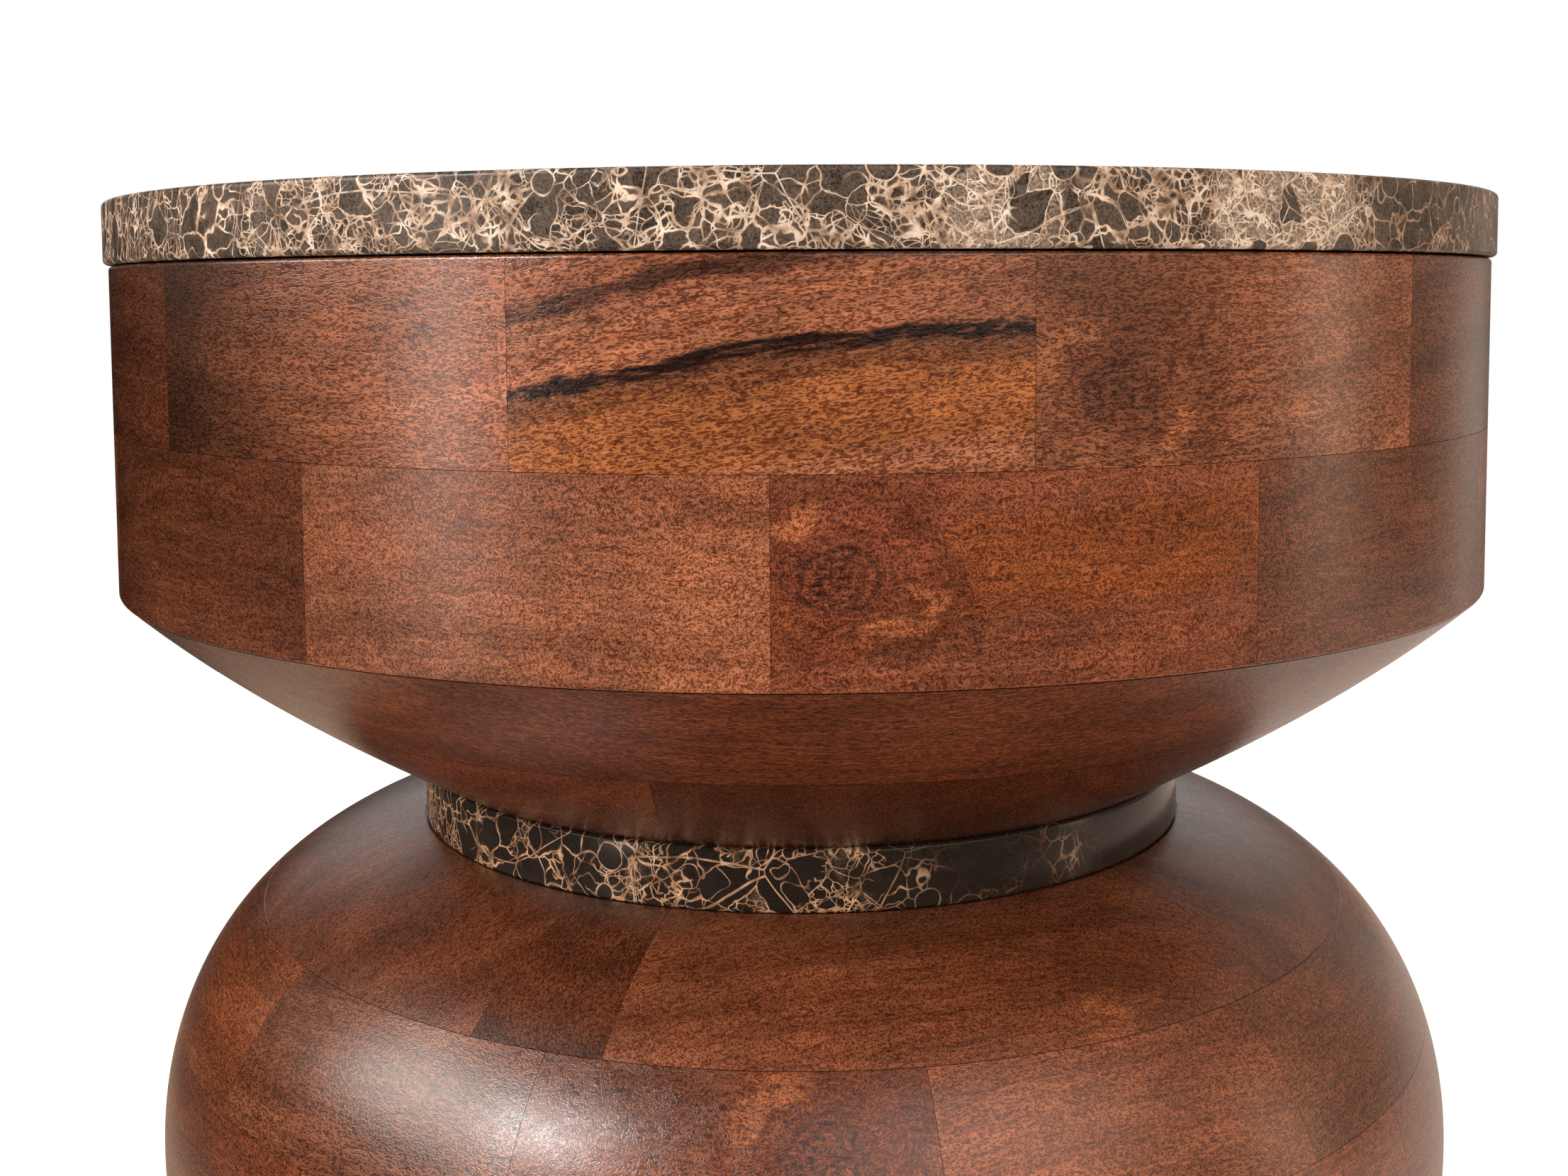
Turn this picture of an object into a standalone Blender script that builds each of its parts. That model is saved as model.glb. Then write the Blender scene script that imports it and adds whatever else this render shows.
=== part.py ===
"""Tiered side table: a stone slab on a drum of brick-laid wood blocks that tapers to a
stone collar, on a bulb-shaped wood base. Metres, +Z up, floor at z = 0, axis on Z."""

import math

import bmesh
import bpy

# The whole table
TABLE_HEIGHT = 0.404
TOP_DIAMETER = 0.457

# Stone pieces, both cut from one slab
SLAB = 0.019
SLAB_ARRIS = 0.0012
COLLAR_DIAMETER = 0.263

# Drum and tapered underside
OVERHANG = 0.0018
SHADOW_GAP = 0.0005
DRUM_COURSE = 0.0507
DRUM_WALL = 0.0365
RIM_ROUND = 0.001
CONE_COURSE = 0.0325
CONE_ARRIS = 0.0008
CONE_BULGE = 0.006
CONE_END_DIAMETER = 0.262
CONE_BOSS_DIAMETER = 0.236
DECK = 0.015
DECK_LEDGE = 0.015

# Bulb, a superellipse of revolution about its equator, as high as the rest leaves room for
BULB_DIAMETER = 0.437
BULB_CREST_RATIO = 1.07
BULB_HEIGHT_POWER = 2.07
BULB_RADIUS_POWER = 4.26
CAP_SHARE = 0.1146
BELT_COURSES = 4
BULB_WALL = 0.038
COLLAR_LIP = 0.0008

# Blocks of a course: equal blocks and a narrow one that closes the ring
BLOCKS = 11
CLOSING_ANGLE = math.radians(13.5)
DRUM_UPPER_JOINT = math.radians(-17.5)
DRUM_LOWER_JOINT = math.radians(-1.7)
SHOULDER_JOINT = math.radians(-21.5)

# Tie through the collar
TIE_DIAMETER = 0.010
TIE_CLEARANCE = 0.0005
TIE_END = 0.005
TIE_CHAMFER = 0.001
NUT_ACROSS_FLATS = 0.017
NUT = 0.008
WASHER_DIAMETER = 0.030
WASHER = 0.0025

# Glides under the foot
GLIDES = 4
GLIDE_DIAMETER = 0.024
GLIDE = 0.003
GLIDE_CIRCLE_DIAMETER = 0.214
GLIDE_EDGE = 0.0006

# Glue line between neighbours, and how finely curves are cut
GLUE = 0.0003
BLOCK_STEPS = 6
CURVE_STEPS = 4
CAP_CURVE_STEPS = 7
TIE_STEPS = 24
HEX_SIDES = 6
EDGE_SEGMENTS = 2
SCREW_MERGE = 0.00005

# Materials, as in the photo: base colour, roughness, metallic
WOOD = (0.205, 0.082, 0.040)
WOOD_ROUGHNESS = 0.42
WOOD_TONES = (1.0, 0.8, 1.18, 0.9, 1.3, 0.74, 1.08)
STONE = (0.075, 0.056, 0.046)
STONE_ROUGHNESS = 0.18
PLY = (0.46, 0.32, 0.19)
PLY_ROUGHNESS = 0.6
STEEL = (0.52, 0.52, 0.53)
STEEL_ROUGHNESS = 0.35
FELT = (0.045, 0.038, 0.034)
FELT_ROUGHNESS = 0.95
NON_METAL = 0.0
METAL = 1.0

# Sizes that follow from those above
BLOCK_ANGLE = (2 * math.pi - CLOSING_ANGLE) / BLOCKS
RING_STEPS = BLOCKS * BLOCK_STEPS
TOP_RADIUS = TOP_DIAMETER / 2
DRUM_RADIUS = TOP_RADIUS - OVERHANG
DRUM_BORE = DRUM_RADIUS - DRUM_WALL
CONE_TOP_RADIUS = DRUM_RADIUS - CONE_ARRIS
CONE_END_RADIUS = CONE_END_DIAMETER / 2
COLLAR_RADIUS = COLLAR_DIAMETER / 2
BULB_RADIUS = BULB_DIAMETER / 2
TIE_HOLE_RADIUS = TIE_DIAMETER / 2 + TIE_CLEARANCE

# Courses of the bulb
DRUM_HEIGHT = 2 * DRUM_COURSE + 2 * CONE_COURSE + 3 * GLUE
BULB_HEIGHT = TABLE_HEIGHT - 2 * SLAB - 2 * SHADOW_GAP - DRUM_HEIGHT - GLIDE - 2 * GLUE
BULB_CREST = BULB_CREST_RATIO * BULB_HEIGHT / 2
CAP_COURSE = CAP_SHARE * BULB_HEIGHT
BELT_LINES = (BELT_COURSES + 1) * GLUE
BELT_COURSE = (BULB_HEIGHT - 2 * CAP_COURSE - BELT_LINES) / BELT_COURSES

# Levels, from the floor up
FOOT_LOW = GLIDE + GLUE
FOOT_HIGH = FOOT_LOW + CAP_COURSE
HEEL_LOW = FOOT_HIGH + GLUE
HEEL_HIGH = HEEL_LOW + BELT_COURSE
BELT_LOWER_LOW = HEEL_HIGH + GLUE
BELT_LOWER_HIGH = BELT_LOWER_LOW + BELT_COURSE
BELT_UPPER_LOW = BELT_LOWER_HIGH + GLUE
BELT_UPPER_HIGH = BELT_UPPER_LOW + BELT_COURSE
SHOULDER_LOW = BELT_UPPER_HIGH + GLUE
SHOULDER_HIGH = SHOULDER_LOW + BELT_COURSE
CAP_LOW = SHOULDER_HIGH + GLUE
CAP_HIGH = CAP_LOW + CAP_COURSE
COLLAR_LOW = CAP_HIGH + GLUE
COLLAR_HIGH = COLLAR_LOW + SLAB
CONE_BOSS_LOW = COLLAR_HIGH + GLUE
CONE_LOWER_LOW = COLLAR_HIGH + SHADOW_GAP
CONE_LOWER_HIGH = CONE_LOWER_LOW + CONE_COURSE
CONE_UPPER_LOW = CONE_LOWER_HIGH + GLUE
CONE_UPPER_HIGH = CONE_UPPER_LOW + CONE_COURSE
DRUM_LOWER_LOW = CONE_UPPER_HIGH + GLUE
DRUM_LOWER_HIGH = DRUM_LOWER_LOW + DRUM_COURSE
DRUM_UPPER_LOW = DRUM_LOWER_HIGH + GLUE
DRUM_UPPER_HIGH = DRUM_UPPER_LOW + DRUM_COURSE
DECK_HIGH = DRUM_UPPER_HIGH + SHADOW_GAP - GLUE
DECK_LOW = DECK_HIGH - DECK
TOP_LOW = DRUM_UPPER_HIGH + SHADOW_GAP
TOP_HIGH = TOP_LOW + SLAB
EQUATOR = (FOOT_LOW + CAP_HIGH) / 2
SEAT_RADIUS = COLLAR_RADIUS + GLUE
LIP_RADIUS = SEAT_RADIUS + COLLAR_LIP
LIP_SHARE = (1 - (LIP_RADIUS / BULB_RADIUS) ** BULB_RADIUS_POWER) ** (1 / BULB_HEIGHT_POWER)
LIP_HIGH = EQUATOR + BULB_CREST * LIP_SHARE
DECK_RADIUS = DRUM_BORE + DECK_LEDGE
DECK_SEAT = DECK_LOW - GLUE
FRONT = -math.pi / 2


def cleared_collection(name):
    """A new collection in the scene."""
    made = bpy.data.collections.new(name)
    bpy.context.scene.collection.children.link(made)
    return made


for old in list(bpy.data.objects):
    bpy.data.objects.remove(old, do_unlink=True)

PARTS = cleared_collection("tiered_side_table")
CUTTERS = cleared_collection("cutters")
CUTTERS.hide_render = True

TABLE = bpy.data.objects.new("table_axis", None)
PARTS.objects.link(TABLE)


def finish(name, colour, roughness, metallic=NON_METAL):
    """A Principled material of one colour."""
    material = bpy.data.materials.new(name)
    material.use_nodes = True
    shader = material.node_tree.nodes["Principled BSDF"]
    shader.inputs["Base Color"].default_value = (*colour, 1.0)
    shader.inputs["Roughness"].default_value = roughness
    shader.inputs["Metallic"].default_value = metallic
    material.diffuse_color = (*colour, 1.0)
    return material


def wood(name, index):
    """Block wood, a little lighter or darker from block to block."""
    tone = WOOD_TONES[index % len(WOOD_TONES)]
    return finish(name + "_wood", [channel * tone for channel in WOOD], WOOD_ROUGHNESS)


def place(name, mesh, material, collection=PARTS):
    """An object for a mesh, on the table's axis, with its own material."""
    obj = bpy.data.objects.new(name, mesh)
    collection.objects.link(obj)
    obj.parent = TABLE
    if material:
        if not mesh.materials:
            mesh.materials.append(None)
        obj.material_slots[0].link = "OBJECT"
        obj.material_slots[0].material = material
    return obj


def mesh_from(bm, name):
    """The bmesh as a mesh with its faces turned outwards."""
    bmesh.ops.recalc_face_normals(bm, faces=bm.faces)
    mesh = bpy.data.meshes.new(name)
    bm.to_mesh(mesh)
    bm.free()
    return mesh


def turned(name, section, material, closed, steps=RING_STEPS):
    """A full turn of a section, given as radius and height, about the table's axis."""
    bm = bmesh.new()
    points = [bm.verts.new((radius, 0.0, height)) for radius, height in section]
    for first, second in zip(points, points[1:]):
        bm.edges.new((first, second))
    if closed:
        bm.edges.new((points[-1], points[0]))
    mesh = bpy.data.meshes.new(name)
    bm.to_mesh(mesh)
    bm.free()
    obj = place(name, mesh, material)
    screw = obj.modifiers.new("turn", "SCREW")
    screw.axis = "Z"
    screw.angle = 2 * math.pi
    screw.steps = steps
    screw.render_steps = steps
    screw.use_merge_vertices = True
    screw.merge_threshold = SCREW_MERGE
    screw.use_normal_flip = True
    return obj


def spun(name, section, angle):
    """A block: a section turned through an angle, starting at angle 0, with flat ends."""
    bm = bmesh.new()
    points = [bm.verts.new((radius, 0.0, height)) for radius, height in section]
    bm.faces.new(points)
    bmesh.ops.spin(
        bm,
        geom=bm.verts[:] + bm.edges[:] + bm.faces[:],
        cent=(0.0, 0.0, 0.0),
        axis=(0.0, 0.0, 1.0),
        angle=angle,
        steps=BLOCK_STEPS,
    )
    return mesh_from(bm, name)


def course(name, section, joint):
    """A ring of blocks, brick-laid so that one joint faces `joint` from the front."""
    widest = max(radius for radius, height in section)
    line = GLUE / widest
    block_mesh = spun(name + "_block", section, BLOCK_ANGLE - line)
    closing_mesh = spun(name + "_closing", section, CLOSING_ANGLE - line)
    before_front = BLOCKS // 2
    start = FRONT + joint - before_front * BLOCK_ANGLE + line / 2
    for index in range(BLOCKS):
        label = f"{name}_block_{index + 1:02d}"
        block = place(label, block_mesh, wood(label, index))
        block.rotation_euler.z = start + index * BLOCK_ANGLE
    label = f"{name}_closing_block"
    block = place(label, closing_mesh, wood(label, BLOCKS))
    block.rotation_euler.z = start + BLOCKS * BLOCK_ANGLE


def sampled(radius_at, low, high, steps):
    """Points of an outline from the low level to the high one."""
    levels = [low + (high - low) * step / steps for step in range(steps + 1)]
    return [(radius_at(level), level) for level in levels]


def cone_radius(level):
    """The taper under the drum, swelling a little between its ends."""
    share = (CONE_UPPER_HIGH - level) / (CONE_UPPER_HIGH - CONE_LOWER_LOW)
    straight = CONE_TOP_RADIUS + (CONE_END_RADIUS - CONE_TOP_RADIUS) * share
    return straight + CONE_BULGE * 4 * share * (1 - share)


def bulb_radius(level):
    """The base's outline, alike above and below its equator."""
    share = min(abs(level - EQUATOR) / BULB_CREST, 1.0)
    return BULB_RADIUS * (1 - share**BULB_HEIGHT_POWER) ** (1 / BULB_RADIUS_POWER)


def eased(low, high, radius, inner, arris):
    """Section of a slab with both outer edges eased, from `inner` out and back."""
    return [
        (inner, low),
        (radius - arris, low),
        (radius, low + arris),
        (radius, high - arris),
        (radius - arris, high),
        (inner, high),
    ]


# Stone top, resting on the deck
turned(
    "marble_top",
    eased(TOP_LOW, TOP_HIGH, TOP_RADIUS, 0.0, SLAB_ARRIS),
    finish("marble_top_stone", STONE, STONE_ROUGHNESS),
    closed=False,
)

# Deck let into the drum's rim, a little proud of it so that the slab has a shadow gap
turned(
    "top_deck",
    [
        (0.0, DECK_LOW),
        (DECK_RADIUS - GLUE, DECK_LOW),
        (DECK_RADIUS - GLUE, DECK_HIGH),
        (0.0, DECK_HIGH),
    ],
    finish("top_deck_ply", PLY, PLY_ROUGHNESS),
    closed=False,
)

# Drum, two courses of blocks with their joints staggered
course(
    "drum_upper",
    [
        (DRUM_BORE, DRUM_UPPER_LOW),
        (DRUM_RADIUS, DRUM_UPPER_LOW),
        (DRUM_RADIUS, DRUM_UPPER_HIGH - RIM_ROUND),
        (DRUM_RADIUS - RIM_ROUND, DRUM_UPPER_HIGH),
        (DECK_RADIUS, DRUM_UPPER_HIGH),
        (DECK_RADIUS, DECK_SEAT),
        (DRUM_BORE, DECK_SEAT),
    ],
    DRUM_UPPER_JOINT,
)
course(
    "drum_lower",
    [
        (DRUM_BORE, DRUM_LOWER_LOW),
        (CONE_TOP_RADIUS, DRUM_LOWER_LOW),
        (DRUM_RADIUS, DRUM_LOWER_LOW + CONE_ARRIS),
        (DRUM_RADIUS, DRUM_LOWER_HIGH),
        (DRUM_BORE, DRUM_LOWER_HIGH),
    ],
    DRUM_LOWER_JOINT,
)

# Tapered underside, two solid panels, the lower one with a boss that seats on the collar
turned(
    "cone_upper_panel",
    [(TIE_HOLE_RADIUS, CONE_UPPER_LOW)]
    + sampled(cone_radius, CONE_UPPER_LOW, CONE_UPPER_HIGH, CURVE_STEPS)
    + [(TIE_HOLE_RADIUS, CONE_UPPER_HIGH)],
    wood("cone_upper_panel", 1),
    closed=True,
)
turned(
    "cone_lower_panel",
    [
        (TIE_HOLE_RADIUS, CONE_BOSS_LOW),
        (CONE_BOSS_DIAMETER / 2, CONE_BOSS_LOW),
        (CONE_BOSS_DIAMETER / 2, CONE_LOWER_LOW),
    ]
    + sampled(cone_radius, CONE_LOWER_LOW, CONE_LOWER_HIGH, CURVE_STEPS)
    + [(TIE_HOLE_RADIUS, CONE_LOWER_HIGH)],
    wood("cone_lower_panel", 5),
    closed=True,
)

# Stone collar between the drum and the base
turned(
    "marble_collar",
    eased(COLLAR_LOW, COLLAR_HIGH, COLLAR_RADIUS, TIE_HOLE_RADIUS, SLAB_ARRIS),
    finish("marble_collar_stone", STONE, STONE_ROUGHNESS),
    closed=True,
)

# Base: cap and foot panels, a shoulder course of blocks and three glued rings. The cap's
# crest stands up as a thin lip round the foot of the collar.
turned(
    "base_cap_panel",
    [(TIE_HOLE_RADIUS, CAP_LOW)]
    + sampled(bulb_radius, CAP_LOW, LIP_HIGH, CAP_CURVE_STEPS)
    + [(SEAT_RADIUS, LIP_HIGH), (SEAT_RADIUS, CAP_HIGH), (TIE_HOLE_RADIUS, CAP_HIGH)],
    wood("base_cap_panel", 0),
    closed=True,
)
shoulder_bore = bulb_radius(SHOULDER_HIGH) - BULB_WALL
course(
    "base_shoulder",
    [(shoulder_bore, SHOULDER_LOW)]
    + sampled(bulb_radius, SHOULDER_LOW, SHOULDER_HIGH, CURVE_STEPS)
    + [(shoulder_bore, SHOULDER_HIGH)],
    SHOULDER_JOINT,
)
for ring, low, high, tone in (
    ("base_belt_upper_ring", BELT_UPPER_LOW, BELT_UPPER_HIGH, 3),
    ("base_belt_lower_ring", BELT_LOWER_LOW, BELT_LOWER_HIGH, 6),
    ("base_heel_ring", HEEL_LOW, HEEL_HIGH, 1),
):
    bore = min(bulb_radius(low), bulb_radius(high)) - BULB_WALL
    turned(
        ring,
        [(bore, low)] + sampled(bulb_radius, low, high, CURVE_STEPS) + [(bore, high)],
        wood(ring, tone),
        closed=True,
    )
turned(
    "base_foot_panel",
    [(0.0, FOOT_LOW)]
    + sampled(bulb_radius, FOOT_LOW, FOOT_HIGH, CAP_CURVE_STEPS)
    + [(0.0, FOOT_HIGH)],
    wood("base_foot_panel", 3),
    closed=False,
)

# Tie rod with a washer and nut at each end, clamping the collar between drum and base
tie_steel = finish("tie_steel", STEEL, STEEL_ROUGHNESS, METAL)
washer_top_low = CONE_UPPER_HIGH + GLUE
washer_base_high = CAP_LOW - GLUE
for washer, low in (
    ("tie_washer_upper", washer_top_low),
    ("tie_washer_lower", washer_base_high - WASHER),
):
    turned(
        washer,
        [
            (TIE_HOLE_RADIUS, low),
            (WASHER_DIAMETER / 2, low),
            (WASHER_DIAMETER / 2, low + WASHER),
            (TIE_HOLE_RADIUS, low + WASHER),
        ],
        finish(washer + "_steel", STEEL, STEEL_ROUGHNESS, METAL),
        closed=True,
        steps=TIE_STEPS,
    )


def upright(name, radius, height, sides, middle, material, collection=PARTS):
    """A straight cylinder or prism standing at `middle`."""
    bm = bmesh.new()
    bmesh.ops.create_cone(
        bm,
        cap_ends=True,
        segments=sides,
        radius1=radius,
        radius2=radius,
        depth=height,
    )
    obj = place(name, mesh_from(bm, name), material, collection)
    obj.location = middle
    return obj


nut_upper_low = washer_top_low + WASHER + GLUE
nut_lower_high = washer_base_high - WASHER - GLUE
nut_radius = NUT_ACROSS_FLATS / (2 * math.cos(math.pi / HEX_SIDES))
for nut, low in (("tie_nut_upper", nut_upper_low), ("tie_nut_lower", nut_lower_high - NUT)):
    middle = (0.0, 0.0, low + NUT / 2)
    steel = finish(nut + "_steel", STEEL, STEEL_ROUGHNESS, METAL)
    body = upright(nut, nut_radius, NUT, HEX_SIDES, middle, steel)
    bore_radius = TIE_DIAMETER / 2 + GLUE
    cutter = upright(nut + "_bore", bore_radius, NUT * 2, TIE_STEPS, middle, None, CUTTERS)
    cutter.hide_render = True
    cutter.display_type = "WIRE"
    cut = body.modifiers.new("bore", "BOOLEAN")
    cut.operation = "DIFFERENCE"
    cut.solver = "EXACT"
    cut.object = cutter

tie_low = nut_lower_high - NUT - TIE_END
tie_high = nut_upper_low + NUT + TIE_END
rod = upright(
    "tie_rod",
    TIE_DIAMETER / 2,
    tie_high - tie_low,
    TIE_STEPS,
    (0.0, 0.0, (tie_low + tie_high) / 2),
    tie_steel,
)
ends = rod.modifiers.new("chamfer", "BEVEL")
ends.width = TIE_CHAMFER
ends.segments = 1

# Felt glides under the foot
for index in range(GLIDES):
    turn = 2 * math.pi * (index + 0.5) / GLIDES
    reach = GLIDE_CIRCLE_DIAMETER / 2
    glide = f"glide_{index + 1}"
    pad = upright(
        glide,
        GLIDE_DIAMETER / 2,
        GLIDE,
        TIE_STEPS,
        (reach * math.cos(turn), reach * math.sin(turn), GLIDE / 2),
        finish(glide + "_felt", FELT, FELT_ROUGHNESS),
    )
    edge = pad.modifiers.new("edge", "BEVEL")
    edge.width = GLIDE_EDGE
    edge.segments = EDGE_SEGMENTS
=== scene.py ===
# %% [markdown]
# # Tiered side table
#
# A round stone slab lies on a drum of wood blocks. The drum tapers to a stone collar, and the
# collar stands on a bulb of the same wood. This lesson dresses the table's plain solids: it cuts
# the blocks with their grain, turns the two stones, and lights them as in a studio.
#
# The solids come in as a fixed frame, in metres, with the table's axis on Z. They could be
# modelled again here, but then the two models would drift apart, so every level below is read
# from the solids instead.

# %% Load the solids
import math
import random
from functools import reduce

import bmesh
import bpy
from mathutils import Matrix, Vector


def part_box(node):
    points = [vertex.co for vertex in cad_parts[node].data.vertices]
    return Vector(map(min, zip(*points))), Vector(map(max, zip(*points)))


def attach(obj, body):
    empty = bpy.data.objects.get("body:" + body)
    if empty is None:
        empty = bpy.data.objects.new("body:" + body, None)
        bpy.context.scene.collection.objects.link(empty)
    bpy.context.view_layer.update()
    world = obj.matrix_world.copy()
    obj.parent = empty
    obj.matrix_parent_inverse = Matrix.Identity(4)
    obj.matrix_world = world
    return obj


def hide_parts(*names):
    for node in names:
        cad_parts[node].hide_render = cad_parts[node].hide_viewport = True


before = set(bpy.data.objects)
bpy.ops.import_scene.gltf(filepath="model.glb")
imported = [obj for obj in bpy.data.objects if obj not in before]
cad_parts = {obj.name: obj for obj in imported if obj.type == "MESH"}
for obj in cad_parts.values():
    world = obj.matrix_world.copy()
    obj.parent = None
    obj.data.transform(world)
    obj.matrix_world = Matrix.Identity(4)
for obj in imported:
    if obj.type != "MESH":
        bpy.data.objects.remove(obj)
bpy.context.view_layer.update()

# %% [markdown]
# ## Camera
#
# The table is seen from the front, from just under the slab, so its upper face stays hidden. The
# camera could be aimed at the middle of the table, but then the upright sides would lean. A lens
# that looks almost level and is shifted down keeps them upright, as a view camera does.

# %% Camera
IMAGE_WIDTH, IMAGE_HEIGHT = 2212, 1659
FOCAL_PIXELS = 2572.8
LENS_AXIS_ROW = 609.5
CAMERA_DISTANCE = 0.6416
CAMERA_BELOW_SLAB = 0.0103
PITCH, YAW, ROLL = 0.0751, 0.0081, -0.0060

camera_data = bpy.data.cameras.new("camera")
camera_data.lens = camera_data.sensor_width * FOCAL_PIXELS / IMAGE_WIDTH
camera_data.shift_y = (LENS_AXIS_ROW - IMAGE_HEIGHT / 2) / IMAGE_WIDTH
camera = bpy.data.objects.new("camera", camera_data)
bpy.context.scene.collection.objects.link(camera)
slab_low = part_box("marble_top")[0][2]
camera.matrix_world = (
    Matrix.Translation((0.0, -CAMERA_DISTANCE, slab_low - CAMERA_BELOW_SLAB))
    @ Matrix.Rotation(YAW, 4, "Z")
    @ Matrix.Rotation(math.pi / 2 - PITCH, 4, "X")
    @ Matrix.Rotation(ROLL, 4, "Z")
)
bpy.context.scene.camera = camera
bpy.context.scene.view_settings.view_transform = "Standard"
print("lens %.1f mm, shift %.4f" % (camera_data.lens, camera_data.shift_y))

# %% [markdown]
# ## Building node trees
#
# Lights, finishes and blocks are all node trees. They could be drawn by hand in the editor, but
# a script can be read from top to bottom and gives the same tree each time. One helper adds a
# node with its settings and inputs at once, where an input takes a plain value or another node's
# output. An output knows the tree that it belongs to, so most helpers only ask for outputs.


# %% Nodes and sums
def feed(node, inputs):
    """Sets a node's inputs to values, or links them to other nodes' outputs."""
    for name, value in dict(inputs).items():
        if isinstance(value, bpy.types.NodeSocket):
            node.id_data.links.new(value, node.inputs[name])
        else:
            node.inputs[name].default_value = value
    return node


def put(tree, kind, inputs=(), **settings):
    """Adds a node with its settings and its inputs."""
    node = tree.nodes.new(kind)
    for name, value in settings.items():
        setattr(node, name, value)
    return feed(node, inputs)


def tree_of(*values):
    """The tree of the first value that is a node's output."""
    return next(value.id_data for value in values if isinstance(value, bpy.types.NodeSocket))


def calc(operation, *values, clamp=False):
    """One Math node's result."""
    settings = {"operation": operation, "use_clamp": clamp}
    return put(tree_of(*values), "ShaderNodeMath", enumerate(values), **settings).outputs[0]


def times(*values):
    """Several values multiplied."""
    return reduce(lambda first, second: calc("MULTIPLY", first, second), values)


def largest(*values):
    """The largest of several values."""
    return reduce(lambda first, second: calc("MAXIMUM", first, second), values)


def fade(value, low, high, start=0.0, end=1.0):
    """A smooth step from start to end as the value goes from low to high."""
    inputs = {"Value": value, "From Min": low, "From Max": high, "To Min": start, "To Max": end}
    settings = {"interpolation_type": "SMOOTHSTEP"}
    return put(tree_of(value), "ShaderNodeMapRange", inputs, **settings).outputs[0]


print("helpers for sums are ready")

# %% [markdown]
# ## Vectors, colours and textures
#
# Places in the wood and the stone are vectors, and what is found there is a colour. Blender has
# one node for every such step, so each gets a short name here. All noise is four-dimensional:
# its fourth input is a seed, which gives every board its own pattern.


# %% Vectors, colours and textures
def vec(operation, *values, output=0):
    """One Vector Math node's result."""
    node = put(tree_of(*values), "ShaderNodeVectorMath", enumerate(values), operation=operation)
    return node.outputs[output]


def scaled(vector, amount):
    """A vector times a number."""
    inputs = {0: vector, "Scale": amount}
    return put(tree_of(vector), "ShaderNodeVectorMath", inputs, operation="SCALE").outputs[0]


def split(vector):
    """The three components of a vector."""
    return put(tree_of(vector), "ShaderNodeSeparateXYZ", {0: vector}).outputs


def join(x, y, z):
    """A vector from three components."""
    return put(tree_of(x, y, z), "ShaderNodeCombineXYZ", {0: x, 1: y, 2: z}).outputs[0]


def mix(factor, first, second, blend="MIX"):
    """Two colours mixed."""
    inputs = {0: factor, 6: first, 7: second}
    settings = {"data_type": "RGBA", "blend_type": blend}
    return put(tree_of(factor, first, second), "ShaderNodeMix", inputs, **settings).outputs[2]


def tinted(colour, light):
    """A colour multiplied by another one or by a grey."""
    return mix(1.0, colour, light, "MULTIPLY")


def noise(vector, seed, detail=2.0, roughness=0.5):
    """A seeded noise texture: its value and its colour."""
    inputs = {"Vector": vector, "W": seed, "Scale": 1.0, "Detail": detail, "Roughness": roughness}
    return put(tree_of(vector), "ShaderNodeTexNoise", inputs, noise_dimensions="4D").outputs


def ramp(value, stops):
    """A colour ramp through the stops, each a position and a colour or a grey."""
    node = put(tree_of(value), "ShaderNodeValToRGB", {0: value})
    elements = node.color_ramp.elements
    while len(elements) < len(stops):
        elements.new(0.5)
    for element, (position, colour) in zip(elements, stops):
        element.position = position
        element.color = (*(colour if isinstance(colour, tuple) else (colour,) * 3), 1.0)
    return node.outputs[0]


print("helpers for colours are ready")

# %% [markdown]
# ## Materials and groups
#
# Grain and stone are each used by more than one finish. They could be copied into every
# material, but then a change has to be made everywhere, so each is built once as a group with
# named sockets. The shader itself stays in the material, where an export can read it.


# %% Materials and groups
def fresh_material(name):
    """A new material, its tree and its shader."""
    material = bpy.data.materials.new(name)
    material.use_nodes = True
    return material, material.node_tree, material.node_tree.nodes["Principled BSDF"]


def bumped(height, strength, distance):
    """A normal that follows a height."""
    inputs = {"Height": height, "Strength": strength, "Distance": distance}
    return put(tree_of(height), "ShaderNodeBump", inputs).outputs[0]


def shader_group(name, inputs, outputs):
    """A new shader group with its named sockets: its tree, what it is given, and its end node."""
    tree = bpy.data.node_groups.new(name, "ShaderNodeTree")
    for sockets, side in ((inputs, "INPUT"), (outputs, "OUTPUT")):
        for label, kind in sockets:
            tree.interface.new_socket(label, in_out=side, socket_type="NodeSocket" + kind)
    return tree, tree.nodes.new("NodeGroupInput").outputs, tree.nodes.new("NodeGroupOutput")


FINISH_OUTPUTS = [("Colour", "Color"), ("Roughness", "Float"), ("Height", "Float")]
MILLIMETRES = 1000.0
print("every finish gives", ", ".join(label for label, kind in FINISH_OUTPUTS))

# %% [markdown]
# ## Lamps
#
# The table stands between soft lamps: two strips at its sides and two large ones on the left.
# Lamps could be plain points, but lacquer and polished stone show the shape of a lamp, so they
# are areas. On satin lacquer the sheen is far brighter than the wood beside it, while the wood
# is lit gently. So the windows on the left only make sheen: they are hidden from diffuse rays.

# %% Lamps
LAMP_AIM = Vector((0.0, 0.0, 0.26))
WARM = (1.0, 0.76, 0.56)


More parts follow.
